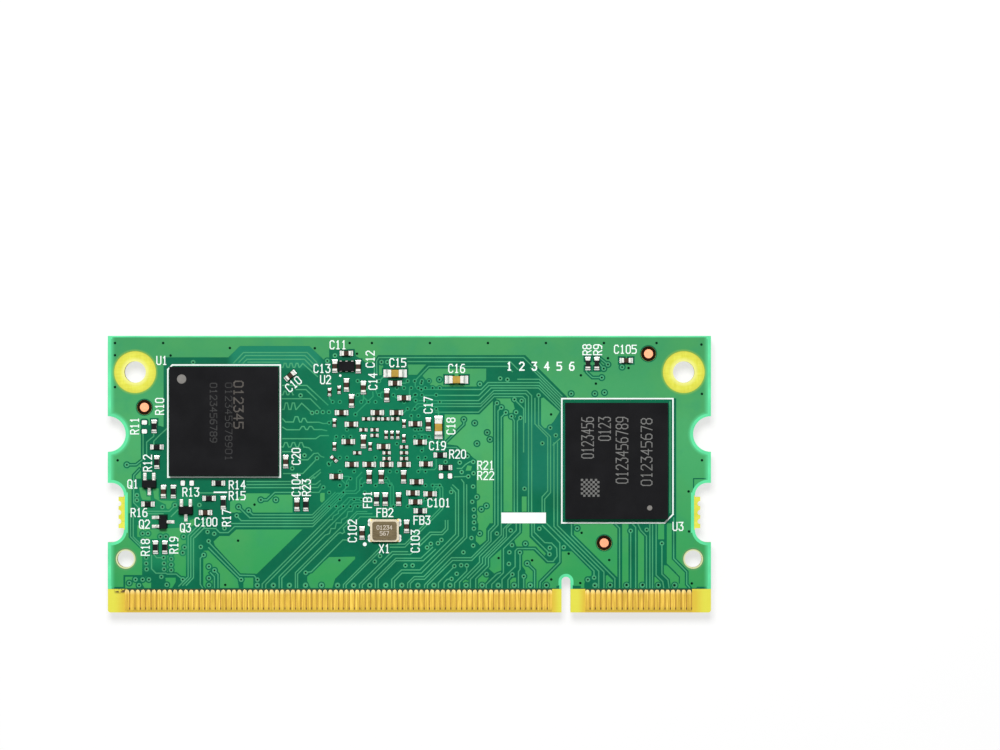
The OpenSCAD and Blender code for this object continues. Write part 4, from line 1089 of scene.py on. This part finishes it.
EDGE_ROW = [-17.05 + 1.8 * k for k in range(19)] + [20.8, 22.5, 24.35, 26.1, 27.9, 29.75]

# Copper layers of both sides

RIM = 0.34  # width of the mask's edge that has no copper under it
FAR_STRIP = (-33.3, 30.0, 33.3, 30.84)  # where the copper comes closer to the far edge
NEAR_X = 33.4  # ends of the strips along the contacts, where it reaches the mask's edge
NEAR_LOW = MASK_EDGE_Y - 0.04
NEAR_HIGH = 4.0
KEY_REACH = 0.5  # those strips pass the contacts beside the key slot by this
RIM_KEY = (16.8, 18.3)  # between these the rim shows, round the key slot
RIM_LOW = MASK_EDGE_Y + 0.35  # elsewhere along the contacts it ends here
TRACK = 0.13
CLEAR = 0.15
VIA_RING = 0.26
VIA_HOLE = 0.11
STITCH_HOLE = 0.15
EDGE_ROW_Y = 3.05
EDGE_VIA = (0.3, 0.12)  # ring and clearance
FIELD_VIA = (0.24, 0.1)
FIELD_TRACK = (0.15, 0.12)  # width and clearance
PAD_CLEAR = 0.2
WIDE_HOLE = 3  # openings wider than this are the screws' bare rings
RING_CLEAR = 0.02
HOLE_CLEAR = 0.12
DOT_OVERLAP = 0.02  # dark dots of the vias reach this far under their rings
VIA_SHARE = 0.15  # heights of the dots and of the rim, as shares of the copper's
RIM_SHARE = 0.2
# The dark openings are partly real and partly painted shade round the chips
PAD_OPENING = 0.07  # how far the mask stops short of the pads and the chips
BODY_OPENING = 0.1
FIELD_REACH = 1.2  # a small via this close to a pad has a track to it
SHORTEST_LEG = 0.1


class Copper:
    """Collects the shapes of one copper layer: pours, tracks, vias and pads with their clearances."""

    def __init__(self, mask, mask_z):
        loops = sorted(top_loops(mask, mask_z), key=lambda loop: -max(p[0] for p in loop))
        self.outer = squared(loops[0])
        self.inner = [("inner", grown(self.outer, -RIM)), ("inner", box_shape(*FAR_STRIP))]
        self.shapes = list(self.inner)
        key_low, key_high = key_gap()
        for left, right in [(-NEAR_X, key_low + KEY_REACH), (key_high - KEY_REACH, NEAR_X)]:
            self.shapes.append(("inner", box_shape(left, NEAR_LOW, right, NEAR_HIGH)))
        self.holes = []
        for loop in loops[1:]:
            width = max(p[0] for p in loop) - min(p[0] for p in loop)
            self.gap(grown(loop, RING_CLEAR if width > WIDE_HOLE else HOLE_CLEAR))

    def pour(self, poly):
        self.shapes.append(("pour", poly))

    def copper(self, poly):
        self.shapes.append(("copper", poly))

    def gap(self, poly):
        self.shapes.append(("gap", poly))

    def track(self, line, width=TRACK, clear=CLEAR):
        self.copper(strip(line, width))
        self.gap(strip(line, width + 2 * clear))

    def via(self, x, y, ring=VIA_RING, clear=CLEAR):
        self.gap(circle(x, y, ring + clear))
        self.copper(circle(x, y, ring))
        self.stitch(x, y, VIA_HOLE)

    def stitch(self, x, y, radius=STITCH_HOLE):
        self.shapes.append(("hole", circle(x, y, radius, HOLE_SIDES)))
        self.holes.append((x, y, radius))

    def pads(self, outlines):
        for outline in outlines:
            self.gap(grown(outline, PAD_CLEAR))

    def build(self, name, base_z, rise):
        def in_pour(kinds):
            return {"inner", "pour"} <= kinds and not kinds & {"gap", "copper", "hole"}

        def in_track(kinds):
            return {"inner", "copper"} <= kinds and "hole" not in kinds

        def in_rim(kinds):
            return kinds == {"outer"}

        cut = regions(self.shapes)
        layer(name, cut, base_z, rise, "pour", in_pour)
        layer(name + "_tracks", cut, base_z, rise, "track", in_track)
        # Dark dots stand for the holes: painted shade where the holes are not cut
        dots = [("dot", circle(x, y, r + DOT_OVERLAP, HOLE_SIDES)) for x, y, r in self.holes]
        layer(name + "_via_hole_shade", regions(dots), base_z, rise * VIA_SHARE, "via")
        # The rim is drawn in the mint of the painted glow through the board's edge
        rim = [("outer", self.outer)] + self.inner
        for left, right in [(-NEAR_X, RIM_KEY[0]), (RIM_KEY[1], NEAR_X)]:
            rim.append(("contacts", box_shape(left, -1, right, RIM_LOW)))
        layer(name + "_rim", regions(rim), base_z, rise * RIM_SHARE, "mint", in_rim)


UPPER_PADS = footprints(
    "solder_fillets", "bare_pads", "oscillator_pads", "transistor_leads", "regulator_leads",
    "capacitor_terminals", "resistor_terminals", "bead_terminals",
)
LOWER_PADS = footprints(
    "lower_solder_fillets", "power_chip_leads", "inductor_terminals", "lower_capacitor_terminals",
    "lower_resistor_terminals",
)
UPPER_BODIES = footprints(
    "large_capacitor_bodies", "medium_capacitor_bodies", "small_capacitor_bodies", "resistor_bodies",
    "bead_bodies", "regulator_body", "transistor_bodies", "oscillator_base",
)
LOWER_BODIES = footprints(
    "inductor_bodies", "power_chip_bodies", "lower_capacitor_bodies", "lower_resistor_bodies",
)


def openings(name, pads, bodies, base_z, rise):
    """Dark bare rings round the pads and under the chips, where the mask stops short of them, dark
    enough to paint the shade round the chips.
    """
    shapes = [("open", grown(outline, PAD_OPENING)) for outline in pads]
    shapes += [("open", grown(outline, BODY_OPENING)) for outline in bodies]
    layer(name, regions(shapes), base_z, rise, "opening")


def via_field(pads, seed, rows, low, row_pitch, runs, pitch, room, bare):
    """Places in staggered rows of small vias, each with the middle of the pad nearest to it.

    They keep room from the pads, and a seeded share of them is left bare. A run is the left end of
    its rows and how many places they have.
    """
    centres = [middle_of(pad) for pad in pads]
    pick = random.Random(seed)
    for row in range(rows):
        y = low + row_pitch * row
        for left, columns in runs:
            for column in range(columns):
                x = left + pitch * column + (pitch / 2 if row % 2 else 0.0)
                spot = Vector((x, y))
                nearest = min(centres, key=lambda c: ((c - spot).length, c.x, c.y))
                if (nearest - spot).length < room or pick.random() < bare:
                    continue
                yield x, y, nearest


def upper_copper():
    """Copper of the memory side."""
    copper = Copper("memory_side_mask", UPPER_Z)
    for poly in POURS:
        copper.pour(poly)
    for line in LEFT_TRACKS + MEMORY_TRACKS + LOWER_TRACKS + RIGHT_TRACKS:
        copper.track(line)
    for x, y in STITCHES:
        copper.stitch(x, y)
    for x in EDGE_ROW:
        copper.via(x, EDGE_ROW_Y, *EDGE_VIA)
    for x, y in VIAS:
        copper.via(x, y)
    copper.pads(UPPER_PADS)
    for width, line in BARE_LINES:
        copper.gap(strip(line, width))
    field = via_field(
        UPPER_PADS, seed=5, rows=19, low=11.9, row_pitch=0.78, runs=[(-9.0, 16)], pitch=0.8,
        room=0.55, bare=0.35,
    )
    for x, y, goal in field:
        copper.via(x, y, *FIELD_VIA)
        spot = Vector((x, y))
        run = goal - spot
        short = min(abs(run.x), abs(run.y))
        corner = (x + math.copysign(short, run.x), y + math.copysign(short, run.y))
        legs = (Vector(corner) - spot).length, (Vector(corner) - goal).length
        if run.length < FIELD_REACH and min(legs) > SHORTEST_LEG:
            copper.track([(x, y), corner, tuple(goal)], *FIELD_TRACK)
    copper.build("upper_copper", UPPER_Z, COPPER_RISE)


# Copper of the processor side

LOWER_POURS = [
    [(-33.7, 30.9), (-33.7, 2.75), (-27.6, 2.75), (-27.6, 26.6), (33.7, 26.6), (33.7, 30.9)],
    [(15.5, 27.0), (15.5, 8.0), (21.0, 2.75), (33.7, 2.75), (33.7, 27.0)],
    [(-27.0, 18.4), (-15.8, 18.4), (-15.8, 26.0), (-27.0, 26.0)],
    [(-27.0, 8.0), (-15.8, 8.0), (-15.8, 15.4), (-27.0, 15.4)],
    [(-27.0, 3.2), (-24.6, 3.2), (-22.4, 5.4), (-22.4, 7.4), (-27.0, 7.4)],
    [(6.9, 26.0), (6.9, 21.9), (8.9, 21.9), (11.6, 24.6), (14.9, 24.6), (14.9, 26.0)],
]

# How many tracks run side by side, their spacing, and the line of the first

LOWER_BUNDLES = [
    (7, 0.34, [
        (4.8, 20.4), (8.6, 20.4), (11.6, 23.4), (21.0, 23.4), (23.4, 21.0), (23.4, 7.0), (21.4, 5.0),
        (21.4, 2.8),
    ]),
    (5, 0.36, [(4.8, 16.9), (8.4, 16.9), (14.6, 10.7), (14.6, 6.9), (15.4, 6.1), (15.4, 2.8)]),
    (4, 0.36, [(-10.6, 13.2), (-12.4, 13.2), (-14.9, 10.7), (-14.9, 9.4), (-20.6, 3.7), (-20.6, 2.8)]),
    (3, 0.34, [(-10.6, 24.6), (-12.6, 24.6), (-13.6, 25.6), (-13.6, 26.2)]),
]

TEST_POINTS = [(26.4 + 2.5 * column, 9.6 + 2.3 * row) for column in range(2) for row in range(5)]
TEST_POINT_RADIUS = 0.45
TEST_POINT_OPENING = 0.62

# Two mirrored fans of tracks from the contacts to the processor: the first x, and the way they run

FANS = [(-19.2, 1), (11.4, -1)]


def lower_copper():
    """Copper of the processor side, which the photo doesn't show: pours and track bundles."""
    copper = Copper("processor_side_mask", LOWER_Z)
    for poly in LOWER_POURS:
        copper.pour(poly)
    for count, pitch, line in LOWER_BUNDLES:
        for k in range(count):
            copper.track([tuple(p) for p in offset_line(line, -pitch * k)])
    for start, way in FANS:
        for k in range(15):
            x = start + 0.6 * k * way
            turn_y = 3.4 + 0.13 * k
            run = 6.0 - 0.16 * k
            end = x + run * way
            copper.track([(x, 2.8), (x, turn_y), (end, turn_y + run), (end, 11.4)])
    for x in EDGE_ROW:
        copper.via(x, EDGE_ROW_Y, *EDGE_VIA)
    for k in range(16):
        copper.stitch(-31.5 + 4.2 * k, 30.1)
    for k in range(8):
        copper.stitch(-30.4, 8.4 + 2.2 * k)
        copper.stitch(17.4 + 0.8 * (k % 4), 12.4 + 6.0 * (k // 4))
    for x, y in TEST_POINTS:
        copper.gap(circle(x, y, TEST_POINT_OPENING, 20))
        copper.stitch(x - 1.1, y + 0.9, 0.12)
    field = via_field(
        LOWER_PADS, seed=8, rows=17, low=13.9, row_pitch=0.72, runs=[(-13.9, 4), (5.0, 3)], pitch=0.78,
        room=0.75, bare=0.3,
    )
    for x, y, _ in field:
        in_bundles = x > 0 and 15.0 < y < 20.9
        if not in_bundles:
            copper.via(x, y, *FIELD_VIA)
    copper.pads(LOWER_PADS)
    copper.build("lower_copper", LOWER_Z, -COPPER_RISE)
    lands = [("land", circle(x, y, TEST_POINT_RADIUS, 24)) for x, y in TEST_POINTS]
    layer("lower_test_points", regions(lands), LOWER_Z, -TEST_POINT_RISE, "solder")


# Printed legend, in strokes on a grid of 4 by 6

GLYPHS = {
    "0": [[(1, 0), (3, 0), (4, 1), (4, 5), (3, 6), (1, 6), (0, 5), (0, 1), (1, 0)]],
    "1": [[(1, 5), (2, 6), (2, 0)], [(1, 0), (3, 0)]],
    "2": [[(0, 5), (1, 6), (3, 6), (4, 5), (4, 4), (0, 0), (4, 0)]],
    "3": [[(0, 6), (4, 6), (2, 3.6), (3, 3.6), (4, 2.6), (4, 1), (3, 0), (1, 0), (0, 1)]],
    "4": [[(3, 0), (3, 6), (0, 2), (4, 2)]],
    "5": [[(4, 6), (0, 6), (0, 3.5), (3, 3.5), (4, 2.6), (4, 1), (3, 0), (0, 0)]],
    "6": [[(3.6, 6), (1.5, 6), (0, 4), (0, 1), (1, 0), (3, 0), (4, 1), (4, 2.4), (3, 3.4), (0.3, 3.4)]],
    "7": [[(0, 6), (4, 6), (1.4, 0)]],
    "8": [
        [(1, 3.2), (0, 4.1), (0, 5.1), (1, 6), (3, 6), (4, 5.1), (4, 4.1), (3, 3.2), (1, 3.2)],
        [(1, 3.2), (0, 2.2), (0, 1), (1, 0), (3, 0), (4, 1), (4, 2.2), (3, 3.2)],
    ],
    "9": [[(0.4, 0), (2.5, 0), (4, 2), (4, 5), (3, 6), (1, 6), (0, 5), (0, 3.6), (1, 2.6), (3.7, 2.6)]],
    "C": [[(4, 5), (3, 6), (1, 6), (0, 5), (0, 1), (1, 0), (3, 0), (4, 1)]],
    "R": [[(0, 0), (0, 6), (3, 6), (4, 5), (4, 4), (3, 3), (0, 3)], [(2, 3), (4, 0)]],
    "Q": [
        [(1, 0), (3, 0), (4, 1), (4, 5), (3, 6), (1, 6), (0, 5), (0, 1), (1, 0)],
        [(2.4, 1.8), (4.2, -0.3)],
    ],
    "U": [[(0, 6), (0, 1), (1, 0), (3, 0), (4, 1), (4, 6)]],
    "F": [[(0, 0), (0, 6), (4, 6)], [(0, 3.2), (3, 3.2)]],
    "B": [
        [(0, 0), (0, 6), (3, 6), (4, 5.2), (4, 4), (3, 3.2), (0, 3.2)],
        [(3, 3.2), (4, 2.4), (4, 0.9), (3, 0), (0, 0)],
    ],
    "X": [[(0, 0), (4, 6)], [(0, 6), (4, 0)]],
}

LETTER_SHARE = 0.68  # width of a letter, as a share of its advance

# Height, advance and stroke width of the labels

UPPER_LABEL = (0.9, 0.66, 0.118)
LAYER_NUMBER = (0.86, 0.68, 0.15)
LOWER_LABEL = (0.86, 0.68, 0.16)
FRAME_WIDTH = 0.16


def strokes(text, x, y, turn, height, advance, width):
    """Outlines of the strokes of a short text round a middle point."""
    unit = height / 6
    narrow = (advance * LETTER_SHARE) / 4
    cos_t = math.cos(math.radians(turn))
    sin_t = math.sin(math.radians(turn))
    start = -(len(text) - 1) * advance / 2
    out = []
    for index, letter in enumerate(text):
        for line in GLYPHS[letter]:
            placed = []
            for gx, gy in line:
                u = start + index * advance + (gx - 2) * narrow
                v = (gy - 3) * unit
                placed.append((x + u * cos_t - v * sin_t, y + u * sin_t + v * cos_t))
            for a, b in zip(placed, placed[1:]):
                out.append(("ink", strip([a, b], width)))
    return out


def frame_strokes(points):
    """Strokes round a package."""
    closed = points + points[:1]
    return [("ink", strip([a, b], FRAME_WIDTH)) for a, b in zip(closed, closed[1:])]


# Labels of the memory side: text, place and turn

LEGEND = [
    ("U1", -27.75, 28.25, 0), ("R10", -28.0, 23.1, 90), ("R11", -30.8, 20.9, 90),
    ("C10", -13.0, 25.6, 40), ("R12", -29.35, 16.75, 90), ("Q1", -31.0, 14.4, 0),
    ("R13", -24.5, 13.5, 0), ("R14", -19.3, 14.3, 0), ("R15", -19.3, 13.1, 0),
    ("R16", -30.3, 11.2, 0), ("Q2", -29.7, 9.9, 0), ("Q3", -25.1, 9.5, 0), ("C100", -22.8, 10.15, 0),
    ("R17", -20.5, 10.6, 90), ("R18", -29.6, 7.3, 90), ("R19", -26.4, 7.55, 90),
    ("C11", -8.0, 30.0, 0), ("C12", -4.4, 28.4, 90), ("C13", -9.8, 27.35, 0), ("U2", -9.4, 26.1, 0),
    ("C14", -4.1, 25.9, 90), ("C15", -1.3, 28.0, 0), ("C16", 5.3, 27.35, 0), ("C17", 2.1, 23.25, 90),
    ("C18", 4.65, 20.9, 90), ("C19", 3.15, 18.7, 0), ("R20", 5.4, 17.75, 0), ("R21", 8.55, 16.5, 0),
    ("R22", 8.55, 15.35, 0), ("FB1", -4.7, 12.65, 90), ("FB2", -2.75, 11.2, 0),
    ("FB3", 1.4, 10.35, 0), ("C101", 3.3, 12.3, 0), ("C102", -6.4, 9.15, 90),
    ("C103", 0.65, 8.0, 90), ("X1", -2.8, 7.15, 0), ("C20", -12.7, 17.5, 90),
    ("C104", -12.7, 14.3, 90), ("R23", -11.55, 14.0, 90), ("R8", 19.9, 29.45, 90),
    ("R9", 21.1, 29.45, 90), ("C105", 24.2, 29.5, 0), ("U3", 30.1, 9.65, 0),
]

LAYER_NUMBERS = [("1", 11.2), ("2", 12.6), ("3", 14.0), ("4", 15.4), ("5", 16.8), ("6", 18.2)]
LAYER_NUMBERS_Y = 27.6

MEMORY_FRAME = [(-27.07, 15.17), (-14.47, 15.17), (-14.47, 27.74), (-26.57, 27.74), (-27.07, 27.24)]
STORAGE_FRAME = [(17.08, 10.04), (28.6, 10.04), (29.54, 11.0), (29.54, 23.97), (17.08, 23.97)]
PROCESSOR_FRAME = [(-10.3, 11.7), (4.3, 11.7), (4.3, 26.3), (-9.6, 26.3), (-10.3, 25.6)]

LOWER_LEGEND = [
    ("U4", -11.7, 26.5), ("U5", -22.6, 26.4), ("U6", -22.6, 7.6), ("C201", 8.5, 24.9),
    ("C202", 8.5, 22.8), ("R26", 11.7, 7.6), ("R27", 11.7, 10.4), ("C203", -14.8, 7.4),
    ("C204", -14.8, 26.6),
]

BAR = [(-21.86, 13.47), (-20.5, 13.47)]
PIN_DOTS = [(-5.0, 7.65, 0.22), (-7.75, 26.55, 0.14)]
BLANK_LABEL = (10.3, 10.0, 15.3, 11.2)


def upper_silk():
    """Labels, layer numbers, frames, a bar, pin dots and a blank label of the memory side."""
    shapes = []
    for text, x, y, turn in LEGEND:
        shapes += strokes(text, x, y, turn, *UPPER_LABEL)
    for digit, x in LAYER_NUMBERS:
        shapes += strokes(digit, x, LAYER_NUMBERS_Y, 0, *LAYER_NUMBER)
    shapes += frame_strokes(MEMORY_FRAME) + frame_strokes(STORAGE_FRAME)
    shapes.append(("ink", strip(BAR, FRAME_WIDTH)))
    shapes += [("ink", circle(*dot)) for dot in PIN_DOTS]
    shapes.append(("ink", box_shape(*BLANK_LABEL)))
    layer("upper_legend", regions(shapes), UPPER_Z, SILK_RISE, "silk")


def lower_silk():
    """Labels, numbers of the test points and the processor's frame, which read from below."""
    labels = list(LOWER_LEGEND)
    for number, (x, y) in enumerate(TEST_POINTS, 1):
        text = str(number)
        labels.append((text, x + 0.8 + 0.35 * len(text), y))
    shapes = []
    for text, x, y in labels:
        for kind, outline in strokes(text, 0, 0, 0, *LOWER_LABEL):
            shapes.append((kind, [(x - p[0], y + p[1]) for p in outline]))
    shapes += frame_strokes(PROCESSOR_FRAME)
    layer("lower_legend", regions(shapes), LOWER_Z, -SILK_RISE, "silk")


# Marks on the packages: plain digits, with their place, turn, height, advance and stroke width

MEMORY_MARKS = [("012345", -19.1, 23.3, -90, 1.0, 0.92, 0.15)]
MEMORY_FINE_MARKS = [
    ("012345678901", -20.2, 21.4, -90, 0.74, 0.74, 0.08),
    ("0123456789", -21.9, 22.4, -90, 0.74, 0.68, 0.1),
]
OSCILLATOR_MARKS = [
    ("01234", -2.78, 9.55, 0, 0.42, 0.36, 0.07),
    ("567", -2.78, 8.9, 0, 0.42, 0.36, 0.07),
]
STORAGE_MARKS = [
    ("0123456", 19.95, 19.6, 90, 1.3, 0.68, 0.11),
    ("0123", 21.85, 20.6, 90, 1.3, 0.7, 0.11),
    ("0123456789", 23.8, 18.2, 90, 1.3, 0.76, 0.11),
    ("012345678", 26.55, 18.0, 90, 1.2, 0.86, 0.11),
]
CHECK_SQUARE = (19.2, 13.0, 0.26, 0.25, 8)


def check_square(left, low, wide, high, count):
    """Every second box of a square of small boxes."""
    out = []
    for row in range(count):
        for column in range(count):
            if (row + column) % 2:
                x = left + wide * column
                y = low + high * row
                out.append(("ink", box_shape(x, y, x + wide, y + high)))
    return out


def top_of(node):
    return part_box(node)[1].z / MM


def chip_marks():
    """Plain runs of digits where packages carry their marking, and a plain check square."""

    def runs(marks):
        return [shape for mark in marks for shape in strokes(*mark)]

    z = top_of("memory_mould")
    layer("memory_marks", regions(runs(MEMORY_MARKS)), z, MARK_RISE, "mark_middle")
    layer("memory_fine_marks", regions(runs(MEMORY_FINE_MARKS)), z, MARK_RISE, "mark_faint")
    cut = regions(runs(OSCILLATOR_MARKS))
    z = top_of("oscillator_lid")
    layer("oscillator_marks", cut, z, LID_MARK_RISE, "mark_lid")
    cut = regions(runs(STORAGE_MARKS) + check_square(*CHECK_SQUARE))
    layer("storage_marks", cut, top_of("storage_mould"), MARK_RISE, "mark")


FOOT_SOLDER = 0.05  # how far it shows round the foot of a lead
CORNER_SOLDER = (0.2, 0.55)  # its ends at the oscillator, measured from the corner
CORNER_RADIUS = 0.26
CORNER_HALF = 0.24
CORNER_OUT = 0.02
WELL_RADIUS = 0.84
FIDUCIAL_RADIUS = 0.5


def solder_lands():
    """Solder that shows round the feet of the transistors' leads and at the oscillator's corners."""
    shapes = [("land", grown(outline, FOOT_SOLDER)) for outline in footprints("transistor_leads")]
    low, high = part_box("oscillator_base")
    for x, out in ((low.x / MM, -1), (high.x / MM, 1)):
        for y, inward in ((low.y / MM - EDGE_Y, 1), (high.y / MM - EDGE_Y, -1)):
            ends = [y + reach * inward for reach in CORNER_SOLDER]
            for end in ends:
                shapes.append(("land", circle(x + CORNER_OUT * out, end, CORNER_RADIUS, 20)))
            shapes.append(("land", box_shape(x - CORNER_HALF, min(ends), x + CORNER_HALF, max(ends))))
    layer("solder_lands", regions(shapes), UPPER_Z, LAND_RISE, "solder")


def fiducial_wells():
    """Dark sunk ring between each copper disc and the opening in the mask."""

    def in_well(kinds):
        return "disc" not in kinds

    shapes = []
    for outline in footprints("fiducials"):
        centre = middle_of(outline)
        shapes.append(("well", circle(centre.x, centre.y, WELL_RADIUS, DISC_SIDES)))
        shapes.append(("disc", circle(centre.x, centre.y, FIDUCIAL_RADIUS, DISC_SIDES)))
    cut = regions(shapes)
    layer("fiducial_wells", cut, top_of("circuit_board"), WELL_RISE, "well", in_well)


def pin_dots():
    """Paler discs in the dimples that mark pin 1 of two packages."""
    for name, node, x, y, radius in [
        ("memory_pin_mark", "memory_mould", -25.47, 26.17, 0.52),
        ("storage_pin_mark", "storage_mould", 26.9, 11.75, 0.29),
    ]:
        cut = regions([("ink", circle(x, y, radius, DISC_SIDES))])
        layer(name, cut, top_of(node) - DIMPLE_DEPTH, MARK_RISE, "pin")


# Stage, light and camera

FLOOR_SIZE = 4.0
FLOOR_Z = -0.00001
FLOOR_WHITE = (0.93, 0.93, 0.93, 1.0)
FLOOR_DIM = (0.925, 0.925, 0.925, 1.0)
FLOOR_BRIGHT = (0.945, 0.945, 0.945, 1.0)
FLOOR_GLOW = 0.7  # share of plain white in the floor as it is seen
WORLD_SEEN = 1.0
WORLD_LIGHT = 0.3
LAMP_PLACE = (-0.03, 0.215, 0.44)
LAMP_SIZE = (0.2, 0.16)
LAMP_WATTS = 2.35

# These put the board where the photo has it: 8.923 pixels to the millimetre at the mask's face, and
# the middle of the contact edge at pixel 409.4, 612.5 of a frame of 1000 by 750

SENSOR = 36.0
LENS = 160.6
EYE_X = 10.154
EYE_Y = 11.117
EYE_HEIGHT = 0.5


def seen_rays(tree):
    """1 for rays that show a surface, directly, in gloss or through glass, and 0 for its light."""
    path = tree.nodes.new("ShaderNodeLightPath")
    seen = path.outputs["Is Camera Ray"]
    for kind in ("Is Glossy Ray", "Is Transmission Ray"):
        either = tree.nodes.new("ShaderNodeMath")
        either.operation = "MAXIMUM"
        tree.links.new(seen, either.inputs[0])
        tree.links.new(path.outputs[kind], either.inputs[1])
        seen = either.outputs[0]
    return seen


def stage():
    """White floor, an even white world and a large soft lamp towards the far edge."""
    bpy.ops.mesh.primitive_plane_add(size=FLOOR_SIZE, location=(0, 0, FLOOR_Z))
    floor = bpy.context.object
    floor.name = "floor"
    white = Shade("floor_white", FLOOR_WHITE, 0.9, 0.0, 0.0)
    white.colour(white.drift(white.noise(40.0, 2.0), FLOOR_DIM, FLOOR_BRIGHT))
    glow = white.tree.nodes.new("ShaderNodeEmission")
    blend = white.tree.nodes.new("ShaderNodeMixShader")
    white.link(white.times(seen_rays(white.tree), FLOOR_GLOW), blend.inputs["Fac"])
    white.link(white.bsdf.outputs["BSDF"], blend.inputs[1])
    white.link(glow.outputs["Emission"], blend.inputs[2])
    white.link(blend.outputs["Shader"], white.tree.nodes["Material Output"].inputs["Surface"])
    floor.data.materials.append(white.material)
    floor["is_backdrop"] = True

    world = bpy.data.worlds.new("studio")
    bpy.context.scene.world = world
    world.use_nodes = True
    tree = world.node_tree
    background = tree.nodes["Background"]
    background.inputs["Color"].default_value = (1.0, 1.0, 1.0, 1.0)
    level = tree.nodes.new("ShaderNodeMapRange")
    level.inputs["To Min"].default_value = WORLD_LIGHT
    level.inputs["To Max"].default_value = WORLD_SEEN
    tree.links.new(seen_rays(tree), level.inputs["Value"])
    tree.links.new(level.outputs[0], background.inputs["Strength"])

    lamp = bpy.data.lights.new("key", "AREA")
    lamp.shape = "RECTANGLE"
    lamp.size, lamp.size_y = LAMP_SIZE
    lamp.energy = LAMP_WATTS
    key = bpy.data.objects.new("key", lamp)
    key.location = LAMP_PLACE
    key.rotation_euler = (-key.location).to_track_quat("-Z", "Y").to_euler()
    bpy.context.scene.collection.objects.link(key)


def camera():
    """Straight down, with the board at the same place and scale in the frame as in the photo."""
    lens = bpy.data.cameras.new("camera")
    lens.sensor_width = SENSOR
    lens.lens = LENS
    lens.clip_start = 0.01
    lens.clip_end = 10.0
    eye = bpy.data.objects.new("camera", lens)
    eye.location = (EYE_X * MM, EYE_Y * MM, EYE_HEIGHT + UPPER_Z * MM)
    bpy.context.scene.collection.objects.link(eye)
    bpy.context.scene.camera = eye


finish_nodes()
upper_copper()
lower_copper()
upper_silk()
lower_silk()
openings("upper_openings_and_shade", UPPER_PADS, UPPER_BODIES, UPPER_Z, OPENING_RISE)
openings("lower_openings_and_shade", LOWER_PADS, LOWER_BODIES, LOWER_Z, -OPENING_RISE)
solder_lands()
fiducial_wells()
chip_marks()
pin_dots()
stage()
camera()
bpy.context.scene.view_settings.view_transform = "Standard"

boxes = [[list(corner) for corner in box] for box in (cad_box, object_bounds())]
